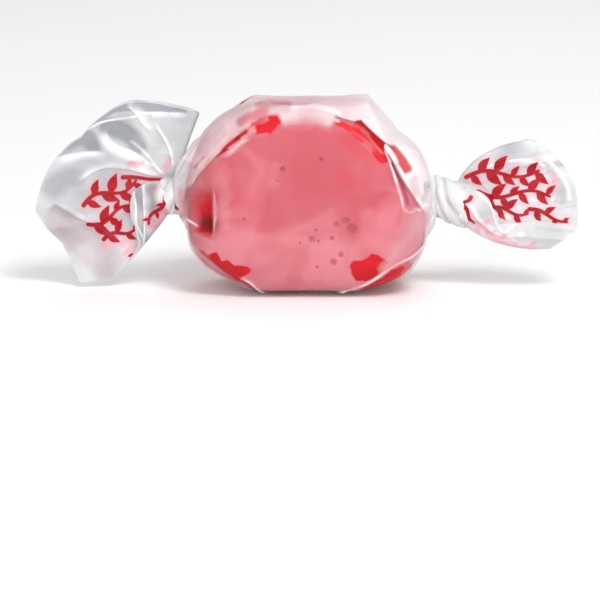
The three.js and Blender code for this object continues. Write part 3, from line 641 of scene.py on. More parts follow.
roll = {
    "gap": 0.2,
    "thick": 0.25,  # mm, the solid that stands for the paper; the sheet runs along its outer side
    "start": 225,
    "turn": 410,  # degrees from the inner edge to the outer, so 50 lap behind the candy
    "lap": {"lift": 0.25, "from": 0.7, "over": 0.17},  # from and over are shares of the turn
    "tentCentre": -15,
    "tentFullness": 1.25,  # higher makes the stiff top wider round the roll
    "tentSide": 11.3,
    "endGaps": 1.5,  # how many gaps the sheet stands off the candy's left and right sides
    "rows": 228,
    "columns": 424,
    "spacing": [(92, 62, 0.125), (-5, 40, 0.17)],  # round which angle, how far, mm between columns
    "widest": 0.4,  # mm between them elsewhere
    "turnSteps": 4001,
    "pleats": {
        "from": 9.5, "gather": 1.4, "wind": 40, "depth": 0.55, "flatten": 0.75, "flattenOver": 0.6,
        "waves": [(5.5, 40, 2, 35, 0.75), (8.5, 60, 1, 80, 0.4)]},  # rate, sway, its rate, phase, height
    "pastNeck": 0.35,
    "tuck": {"before": 0.1, "over": 0.4, "depth": 0.7},  # the sheet's end, turned in under the twist
    "stands": {"height": (0.08, 0.25), "over": 0.6, "clearance": 0.3, "shrink": 0.985},
    "looseAt": 1.5,  # mm off the candy at which the sheet is fully loose
    "wobble": {"height": (0.03, 0.12), "size": 2.1, "seed": 11},  # where it lies, and where it is loose
    "ridges": {"height": (0.01, 0.05), "size": 1.2, "seed": 12},
    "crumple": {"seed": 5, "count": 46, "height": 0.07},
    "crumpleAt": 1.2,
    "pitEdge": 0.3,
    "pitShare": 0.9,
    "floorGap": 0.03,
    "facing": (-0.05, 0.25),  # how far a place faces the front for marks to show, and over how much
    "face": (0.15, 0.25),  # the same for a place to count as on a cut face
    "farOut": -3.0,  # mm outside the rim that the rest of the roll counts as
    "soft": {"rim": 0.2, "contact": 0.14, "outer": 2.0, "cling": (-0.18, 0.3)},
    "off": {"haze": 0.96, "at": 2.2},  # where the sheet stands this far off the candy
    "gathers": 1.1,  # mm before a neck, over which the sheet turns like the twist
    "gathered": {"haze": 0.95, "grey": 0.32, "blush": 0.05},
    "milkAt": 0.3,
    "low": {"haze": 0.05, "over": 8},  # a little more towards the bottom of the faces
    # how much where clear and where milky, weight of the depth, size, seed, sharpness
    "clouds": [(0.015, 0.075, 0.4, 2.6, 21, 1), (0.015, 0.045, 1.0, 3.1, 22, 6)],
    "hazeLimits": (0.005, 0.97),
    "printFaces": 0.2,
    "topPrintFaces": 0.8,
    "clear": 0.015,  # haze where the sheet clings to the candy's face
    "margin": 0.07,  # and between there and the rim
    "milk": [  # degrees seen from the front, haze at the rim, haze further out
        (0, 0.86, 0.97), (30, 0.9, 0.97), (45, 0.92, 0.97), (65, 0.86, 0.93), (90, 0.76, 0.84),
        (110, 0.68, 0.8), (130, 0.62, 0.8), (150, 0.72, 0.86), (168, 0.86, 0.94), (185, 0.85, 0.95),
        (197, 0.4, 0.65), (212, 0.2, 0.3), (240, 0.12, 0.2), (270, 0.1, 0.2), (300, 0.04, 0.1),
        (316, 0.04, 0.12), (326, 0.25, 0.45), (340, 0.6, 0.8), (352, 0.8, 0.95), (360, 0.86, 0.97)],
    "print": [((-15.0, -0.5), (-14.2, -1.5), 0.05, 0, 0.6)],
    "topPrint": [((-7.2, 0.8), (-6.3, 4.2), 0.2, 4, 0.8)],  # a sprig on the top, placed in plan
    "glow": {  # how pink the milky parts look close over the candy, a painted glow of the candy's light in the paper, and less so to the right
        "most": 0.45, "fades": 2.4, "haze": (0.15, 0.3), "right": (5, 5), "rightLeast": 0.3},
    "contact": [
        (-9.9, 3.9), (-8.4, 4.3), (-7.5, 5.4), (-6.1, 6.2), (-4.7, 6.4), (-3.8, 7.1), (-3.1, 7.7),
        (-1.4, 7.7), (0.2, 7.8), (2.7, 7.6), (4.4, 7.0), (5.6, 5.8), (6.8, 4.7), (8.5, 3.4), (9.2, 2.5),
        (9.6, 1.1), (10.0, -0.2), (10.2, -1.4), (10.3, -3.1), (9.8, -4.9), (9.1, -6.6), (8.3, -8.2),
        (6.8, -9.4), (4.6, -10.1), (1.3, -10.4), (-2.0, -10.5), (-4.6, -10.1), (-6.3, -9.1), (-7.9, -8.2),
        (-9.4, -7.3), (-10.5, -6.3), (-10.6, -5.2), (-10.3, -4.1), (-10.2, -2.5), (-10.1, -1.4),
        (-9.0, -1.1), (-7.9, -0.3), (-8.6, 1.0), (-9.3, 2.1)],
    "rim": [
        (-12.9, 0.6), (-12.1, 2.1), (-10.5, 3.9), (-8.4, 5.8), (-6.3, 7.3), (-5.0, 8.3), (-3.8, 9.0),
        (-2.3, 9.2), (-0.9, 9.3), (0.9, 9.4), (2.4, 9.0), (3.8, 8.4), (5.0, 8.1), (5.8, 8.2), (7.3, 6.7),
        (9.0, 5.3), (9.6, 3.5), (10.4, 1.8), (11.4, 0.2), (12.2, -1.0), (12.8, -2.0), (12.8, -4.4),
        (12.7, -5.4), (12.0, -6.2), (11.0, -6.9), (9.6, -7.6), (8.4, -8.4), (7.0, -9.3), (5.5, -10.0),
        (3.5, -10.5), (-0.9, -10.8), (-4.8, -10.9), (-5.7, -10.4), (-6.7, -9.6), (-7.9, -9.0), (-8.9, -8.4),
        (-9.8, -7.7), (-10.9, -6.8), (-12.2, -5.7), (-12.9, -4.4), (-13.2, -2.9), (-13.6, -1.2)],
    "clings": [*[outline for band in candySkin["stripes"] for outline in band["front"]],
               candySkin["pocket"],
               [(5.5, -9.7), (8.4, -8.7), (10.1, -7.6), (11.0, -7.2), (12.0, -8.3), (10.1, -9.6),
                (8.0, -10.7), (6.0, -11.2)]],
    # Lines that turn the sheet milkier and push it out are creases, whiter partly from their own milk and
    # partly as a painted highlight; grey in a mark is painted shade, and blush a painted pink glow
    "marks": [  # seen from the front: the line, half width, softness, fade at its ends, what changes
        ([(-3.5, 8.8), (-2.2, 9.1), (-0.4, 9.3), (1.6, 9.0), (3.3, 8.3)], 0.15, (0.5, 1.7), 0.12,
         {"haze": 0.84, "blush": 0.38}),
        ([(2.2, 8.4), (2.9, 8.25), (3.6, 8.0)], 0.08, 0.18, 0.2, {"haze": 0.8, "push": 0.1}),
        ([(-5.2, 8.0), (-4.2, 7.7), (-3.4, 7.9)], 0.2, 0.5, 0, {"haze": 0.0}),
        ([(-7.3, 8.0), (-5.9, 8.7), (-4.7, 9.2)], 0.2, 0.6, 0, {"haze": 0.55, "blush": 0.85}),
        ([(-7.6, 6.4), (-6.6, 7.0), (-5.6, 7.3)], 0.2, 0.5, 0.1, {"haze": 0.3}),
        ([(-6.3, 7.6), (-5.2, 8.1), (-4.3, 8.6)], 0.0, 0.6, 0.1, {"haze": 0.25, "blush": 0.7}),
        ([(4.3, 7.8), (5.6, 7.4), (7.0, 6.2)], 0.05, 0.4, 0.2, {"haze": 0.18}),
        ([(4.4, 7.2), (5.4, 6.6), (6.6, 5.7), (7.6, 4.4)], 0.0, 0.4, 0.2, {"haze": 0.14}),
        ([(6.4, 6.7), (7.4, 5.4), (8.4, 4.3)], 0.0, 0.25, 0.2, {"haze": 0.25}),
        ([(9.3, 5.0), (10.2, 4.0), (10.9, 2.9)], 0.2, 0.5, 0.0, {"haze": 0.12}),
        ([(-4.6, 9.1), (-2.4, 9.5), (-0.4, 9.65), (1.8, 9.4), (4.0, 8.6)], 0.1, (0.6, 0.2), 0.1,
         {"haze": 0.93, "blush": 0.2, "push": 0.12}),
        ([(-5.2, 9.7), (-4.0, 9.5), (-2.4, 9.7)], 0.3, 0.7, 0.0, {"haze": 0.5}),
        ([(-6.1, 6.4), (-7.0, 6.0), (-7.7, 5.5), (-8.4, 4.8), (-9.4, 4.2)], 0.1, (0.4, 0.15), 0.3,
         {"haze": 0.3}),
        ([(11.4, -2.6), (10.9, -4.4), (9.9, -6.0)], 0.2, 1.3, 0, {"haze": 0.18}),
        ([(11.0, -4.9), (11.7, -3.6), (12.3, -2.5)], 0.15, 1.6, 0, {"haze": 0.4, "blush": 0.6}),
        ([(8.6, -8.1), (9.5, -7.4), (10.5, -6.6), (11.3, -5.7), (12.1, -4.6)], 0.1, (1.0, 0.3), 0,
         {"haze": 0.35, "blush": 0.7}),
        ([(-12.2, -4.9), (-11.5, -5.3), (-10.9, -5.6)], 0.1, 0.8, 0, {"haze": 0.2, "blush": 0.8}),
        ([(-13.8, -1.7), (-13.3, -0.7), (-12.8, 0.4)], 0.2, 0.6, 0, {"haze": 0.5, "blush": 0.8}),
        # Painted shade on the left tent, which faces away from the key light
        ([(-12.6, 3.6), (-13.6, 1.9), (-14.2, 0.4)], 0.7, 1.0, 0.1, {"grey": 0.4}),
        ([(-14.0, 0.2), (-14.0, -0.8), (-13.9, -2.0)], 0.2, 0.9, 0,
         {"haze": 0.8, "grey": 0.15, "blush": 0.8}),
        ([(-12.2, 0.3), (-11.4, 0.2)], 0.3, 1.1, 0, {"haze": 0.12, "blush": 0.9}),
        ([(-12.5, -0.8), (-12.5, -2.4)], 0.15, 0.5, 0, {"haze": 0.1, "blush": 0.9}),
        # Painted shade along the upper-left tent and in the right tent's streaks by the neck
        ([(-8.8, 7.6), (-10.6, 6.0), (-12.4, 3.9)], 0.3, 0.7, 0.2, {"grey": 0.25, "push": -0.15}),
        ([(13.3, 1.6), (12.9, 0.2), (12.9, -1.2)], 0.25, 0.4, 0.2, {"grey": 0.45, "push": -0.15}),
        ([(11.7, 1.6), (11.8, 0.4)], 0.2, 0.8, 0, {"grey": 0.3, "blush": 0.25}),
        ([(12.4, 2.6), (12.3, 1.2), (12.7, -0.2)], 0.1, 0.3, 0.2, crest(0.15)),
        (clefts["upperLeft"], 0.12, 0.12, 0.2, {"haze": 0.0, "push": -0.15}),
        (clefts["left"], 0.08, 0.1, 0.2, {"haze": 0.0, "push": -0.15}),
        ([(-11.3, 4.4), (-12.6, 2.8)], 0.06, 0.15, 0.2, {"haze": 0.35, "push": -0.1}),
        (clefts["lowerLeft"], 0.12, 0.12, 0.1, {"haze": 0.0, "push": -0.15}),
        (clefts["right"], 0.14, 0.12, 0.1, {"haze": 0.03, "push": -0.35}),
        ([(8.3, 5.2), (8.7, 4.2), (9.1, 3.0), (9.5, 1.7), (9.9, 0.4), (10.2, -0.6), (10.4, -1.5),
          (11.0, -1.9), (11.5, -1.9), (11.7, -1.6), (12.1, -1.7), (12.5, -2.0)], 0.0, (0.4, 0.18), 0.06,
         {"haze": 0.75, "push": 0.3}),
        ([(8.5, 5.2), (9.1, 4.3), (9.6, 3.4), (10.4, 1.8), (11.4, 0.2), (12.2, -1.0), (12.7, -1.8)], 0.0,
         (0.5, 0.17), 0.08, {"haze": 0.95, "push": 0.35}),
        ([(8.5, 5.3), (9.2, 4.4), (9.6, 3.7)], 0.1, (0.3, 0.15), 0.0, {"haze": 0.9, "push": 0.15}),
        ([(-10.8, 0.6), (-10.3, 0.3), (-10.2, -0.8), (-10.1, -2.0), (-10.2, -3.1), (-10.4, -4.2),
          (-10.5, -4.9)],
         0.0, 0.17, 0.2, {"haze": 0.45, "push": 0.1}),
        ([(-14.0, -2.2), (-13.3, -2.5), (-12.8, -2.9), (-12.2, -3.4)], 0.0, 0.2, 0.1,
         {"haze": 0.85, "push": 0.25}),
        ([(-7.3, -9.0), (-6.3, -9.5), (-5.5, -10.2), (-4.8, -10.6), (-3.9, -10.9)], 0.0, 0.16, 0.1,
         {"haze": 0.6, "push": 0.2}),
        ([(-12.7, -5.9), (-11.3, -7.5), (-9.7, -8.9), (-7.9, -10.1), (-6.1, -11.1)], 0.1, 0.25, 0.1,
         {"haze": 0.3, "blush": 0.9}),
        ([(2.8, -10.6), (4.2, -10.4), (5.5, -10.0), (7.0, -9.3), (8.4, -8.4), (9.6, -7.6), (11.0, -6.9),
          (12.0, -6.2), (12.7, -5.4), (13.3, -4.7)], 0.0, 0.18, 0.1, {"haze": 0.85, "push": 0.25}),
        ([(-12.1, 2.1), (-10.5, 4.1), (-9.4, 5.2), (-8.5, 6.1), (-7.4, 6.9)], 0.04, 0.12, 0.1,
         {"haze": 0.6, "push": 0.15}),
        ([(-3.9, -11.0), (-0.9, -11.0), (2.7, -10.6)], 0.05, 0.15, 0.1, {"haze": 0.35, "push": 0.1}),
        ([(-5.0, 10.4), (-3.1, 10.1), (-0.9, 9.9), (1.1, 10.1)], 0.08, 0.25, 0.2,
         {"blush": 0.9, "push": -0.05}),
    ],
}


def twistRadius(twist, station):
    t = np.clip((station - twist["neckX"]) / (twist["endX"] - twist["neckX"]), 0, 1)
    return lerp(twist["neckRadius"], twist["endRadius"], t)


def twistDrop(twist, station):
    start = twist["neckX"] - twist["dropsEarly"]
    return twist["endDrop"] * ramp(station, start, twist["endX"] - twist["neckX"])


def bySide(x, key):
    return np.where(x < 0, twists[-1][key], twists[1][key])


def bothSides(x, measure):
    return np.where(x < 0, measure(twists[-1], np.abs(x)), measure(twists[1], np.abs(x)))


# How far the sheet is from the X axis, and how far it stands off the candy
def paperReach(x, degrees):
    x, degrees = np.broadcast_arrays(x, degrees)
    station = np.abs(x)
    up = smooth(roll["tentFullness"] * np.cos(np.radians(turnBetween(degrees, roll["tentCentre"]))))
    neck = bySide(x, "neckX") + bySide(x, "slant") * np.cos(np.radians(degrees))
    leaves = lerp(roll["tentSide"], bySide(x, "tentTop"), up)
    power = lerp(1, bySide(x, "bulgeTop"), up)
    neckRadius = bothSides(x, twistRadius)
    middle = candyReach(np.zeros(x.shape), degrees)
    held = lerp(candyReach(np.sign(x) * leaves, degrees), middle, up) + roll["gap"]
    t = np.clip((station - leaves) / (neck - leaves), 0, 1)
    tent = neckRadius + (held - neckRadius) * (1 - t ** power) ** (1 / power)
    under = candyReach(x * (1 - roll["endGaps"] * roll["gap"] / candy["halfWidth"]), degrees)
    lying = np.where(under > 0, under + roll["gap"], 0)
    return np.maximum(lying, tent) - pinchDepth(x, degrees), np.maximum(tent - lying, 0)


# How far the gathered sheet dips between its pleats, more and sharper towards a neck
def pleatDip(x, degrees):
    p = roll["pleats"]
    toNeck = np.abs(x) - bySide(x, "neckX")
    gathered = smooth((np.abs(x) - p["from"]) / (bySide(x, "neckX") - p["from"])) ** p["gather"]
    wound = degrees + p["wind"] * gathered * np.sign(x)
    dip = 0
    for rate, sway, swayRate, phase, height in p["waves"]:
        swayed = sway * np.sin(np.radians(swayRate * wound + phase))
        dip = dip + height * (1 - np.abs(np.sin(np.radians(wound * rate + swayed))))
    flatter = 1 - p["flatten"] * smooth((toNeck + p["flattenOver"]) / p["flattenOver"])
    return p["depth"] * gathered * flatter * dip


# Angles round the roll, closest together on the front and the top
def rollColumns():
    even = np.linspace(roll["start"], roll["start"] + roll["turn"], roll["turnSteps"])
    radius = paperReach(np.zeros(even.shape), even)[0]
    y, z = -radius * np.sin(np.radians(even)), radius * np.cos(np.radians(even))
    step = np.hypot(np.diff(y), np.diff(z))
    middle = (even[1:] + even[:-1]) / 2
    near = [np.abs(turnBetween(middle, at)) < reach for at, reach, _ in roll["spacing"]]
    spacing = np.select(near, [wide for _, _, wide in roll["spacing"]], roll["widest"])
    run = np.concatenate([[0], np.cumsum(step / spacing)])
    return np.interp(np.linspace(0, run[-1], roll["columns"]), run, even)


crumple = {
    "box": (13, 9, 10),  # mm each way that the creases' middles lie in
    "way": (1.6, 0.8, 0.8),  # so that most run out towards a neck
    "reach": (2.5, 6.5),
    "fadesBy": 1.2,  # times its reach, a crease is gone
    "width": (0.3, 0.9),
}


# Small straight creases at random
def crumpled(points, seed, count, height):
    random = np.random.default_rng(seed)
    total = np.zeros(len(points))
    for _ in range(count):
        middle = random.uniform(np.negative(crumple["box"]), crumple["box"])
        way = random.normal(size=3) * crumple["way"]
        way /= np.linalg.norm(way)
        across = np.cross(way, random.normal(size=3))
        across /= np.linalg.norm(across)
        offset = points - middle
        reach = random.uniform(*crumple["reach"])
        near = smooth(crumple["fadesBy"] - np.linalg.norm(offset, axis=1) / reach)
        side = random.choice((-1, 1))
        width = random.uniform(*crumple["width"])
        total += near * side * np.maximum(0, 1 - np.abs(offset @ across) / width)
    return height * total


sprigShape = {
    "stem": (0.26, 0.16),  # mm, half its width at the foot and at the tip
    "stemPoints": 9,
    "firstLeaf": 0.6,
    "out": 0.55,  # how far a leaf points along the stem, and aside
    "aside": 0.83,
    "shrink": 0.25,  # leaves get shorter towards the tip, and vary a little
    "uneven": (0.2, 5.1, 9),
    "leaf": [(0.0, 0.0, 0.08), (0.35, 0.02, 0.27), (0.65, 0.06, 0.23), (1.0, 0.2, 0.03)],
}


# A printed sprig: a bowed stem with leaves to both sides, each a stroke of points with a half width
def sprig(start, end, bow, leaves, size):
    s = sprigShape
    start, end = np.array(start), np.array(end)
    way = (end - start) / np.linalg.norm(end - start)
    side = np.array([-way[1], way[0]])
    uneven, rate, bowRate = s["uneven"]

    def onStem(t):
        return start + (end - start) * t + side * bow * np.sin(2 * np.pi * t)

    t = np.linspace(0, 1, s["stemPoints"])[:, None]
    strokes = [np.hstack([onStem(t), lerp(*s["stem"], t)])]
    for i in range(leaves):
        at = (i + s["firstLeaf"]) / leaves
        foot = onStem(at)
        out = way * s["out"] + side * (s["aside"] if i % 2 else -s["aside"])
        length = size * (1 - s["shrink"] * at) * (1 + uneven * math.sin(rate * i + bow * bowRate))
        strokes.append(np.array([[*(foot + (out * reach + way * curl) * length), wide * length]
                                 for reach, curl, wide in s["leaf"]]))
    return strokes


# Each point's distance into the print of a list of sprigs, above 0 inside it
def printed(seen, sprigs):
    ink = np.full(len(seen), -1.0)
    for each in sprigs:
        for stroke in sprig(*each):
            line = curve(stroke)
            away, place, _ = lineDistance(seen, line[:, :2])
            lengths = np.hypot(*np.diff(line[:, :2], axis=0).T)
            before = np.concatenate([[0], np.cumsum(lengths)]) / lengths.sum()
            ink = np.maximum(ink, np.interp(place, before, line[:, 2]) - away)
    return ink


# Clear inside the contact outline, hazier to the rim, and milky outside it and where the sheet stands off
def hazeOver(spot, face, lift):
    soft, off, glow = roll["soft"], roll["off"], roll["glow"]
    at, near, far = np.array(roll["milk"], float).T
    angle = np.degrees(np.arctan2(spot[:, 1], spot[:, 0])) % 360
    fromRim = np.where(face > 0, insideBy(spot, roll["rim"]), roll["farOut"])
    further = smooth(-fromRim / soft["outer"])
    haze = lerp(np.interp(angle, at, near), np.interp(angle, at, far), further)
    haze = lerp(haze, roll["margin"], face * smooth(fromRim / soft["rim"] + 0.5))
    fromContact = insideBy(spot, roll["contact"])
    haze = lerp(haze, roll["clear"], face * smooth(fromContact / soft["contact"] + 0.5))
    haze = lerp(haze, off["haze"], 1 - bell(lift, off["at"]))
    # The candy's pink glow in the milky sheet is painted on here, fading with the distance off it
    blush = glow["most"] * np.exp(-lift / glow["fades"]) * ramp(haze, *glow["haze"])
    return haze, blush * lerp(1, glow["rightLeast"], ramp(spot[:, 0], *glow["right"]))


# The rolled sheet's grid before it is creased, and how far each point stands off the candy
def rollGrid():
    tuck, lap, stands = roll["tuck"], roll["lap"], roll["stands"]
    left, right = [twists[way]["neckX"] + roll["pastNeck"] for way in (-1, 1)]
    x = np.linspace(-left, right, roll["rows"])[:, None]
    degrees = rollColumns()[None, :]
    reach, lift = paperReach(x, degrees)
    tucked = tuck["depth"] * ramp(np.abs(x), bySide(x, "neckX") - tuck["before"], tuck["over"])
    lapped = lap["lift"] * ramp((degrees - roll["start"]) / roll["turn"], lap["from"], lap["over"])
    standing = lerp(*stands["height"], smooth(lift / stands["over"]))
    reach = reach - pleatDip(x, degrees) + standing + lapped - tucked
    least = candyReach(x * stands["shrink"], degrees) - pinchDepth(x, degrees) + stands["clearance"]
    reach = np.maximum(reach, least)
    drop = bothSides(x, twistDrop)
    x, degrees, drop = np.broadcast_arrays(x, degrees, drop)
    turned = np.radians(degrees)
    return np.stack([x, -reach * np.sin(turned), reach * np.cos(turned) - drop], axis=-1), lift


def makeRoll():
    grid, lift = rollGrid()
    normal = gridNormals(grid)
    normal *= np.sign(np.sum(normal * grid * [0.2, 1, 1], axis=-1, keepdims=True))  # all outwards
    points, normal, lift = grid.reshape(-1, 3), normal.reshape(-1, 3), lift.reshape(-1)
    seen = fromFront(points)
    rise = math.radians(view["elevation"])
    facing = ramp(normal @ [0, -math.cos(rise), math.sin(rise)], *roll["facing"])
    spot = np.where(points[:, 1:2] < 0, seen, points[:, [0, 2]])
    face = ramp(np.abs(normal[:, 1]), *roll["face"])
    haze, blush = hazeOver(spot, face, lift)
    for outline in roll["clings"]:
        haze = haze * (1 - facing * ramp(insideBy(seen, outline), *roll["soft"]["cling"]))
    empty = np.zeros(len(points))
    values = {"haze": haze, "blush": blush, "push": empty, "grey": empty}
    drawMarks(seen, roll["marks"], values, facing)
    start = bySide(points[:, 0], "neckX") - roll["gathers"]
    gathered = ramp(np.abs(points[:, 0]), start, roll["gathers"])
    for key, value in roll["gathered"].items():
        values[key] = lerp(values[key], value, gathered)
    haze = values["haze"]
    milk = smooth(haze / roll["milkAt"])
    thin = np.minimum(haze / roll["clear"], 1)
    low = face * smooth(-spot[:, 1] / roll["low"]["over"])
    haze = haze + roll["low"]["haze"] * low * (1 - milk) * thin
    for clear, milky, depth, size, seed, sharp in roll["clouds"]:
        cloud = np.clip(sharp * softNoise(points * [1, depth, 1], size, seed), -1, 1)
        haze = haze + thin * lerp(clear, milky, milk) * cloud
    values["haze"] = np.clip(haze, *roll["hazeLimits"])

    loose = smooth(lift / roll["looseAt"])
    wobble, ridges = roll["wobble"], roll["ridges"]
    waved = softNoise(points, wobble["size"], wobble["seed"])
    folded = 1 - 2 * np.abs(softNoise(points, ridges["size"], ridges["seed"]))
    push = values.pop("push") + lerp(*wobble["height"], loose) * waved
    push = push + lerp(*ridges["height"], loose) * folded
    push = push + crumpled(points, **roll["crumple"]) * smooth(lift / roll["crumpleAt"])
    push = push - facing * pitDepth(seen, roll["pitEdge"]) * roll["pitShare"]
    points = points + normal * push[:, None]
    points[:, 2] = np.maximum(points[:, 2], roll["floorGap"] - candy["middle"][2])
    onFront, onTop = printed(seen, roll["print"]), printed(points[:, :2], roll["topPrint"])
    values["ink"] = np.maximum(np.where(facing > roll["printFaces"], onFront, -1.0),
                               np.where(normal[:, 2] > roll["topPrintFaces"], onTop, -1.0))
    return points, gridFaces(*grid.shape[:2]), values


points, faces, values = makeRoll()
addPiece("paperRoll", points, faces, values, paperMaterial, ["wax_paper_wrapper"])

# The two tails: a short wrung rod at each neck, and a fan folded in three beyond it

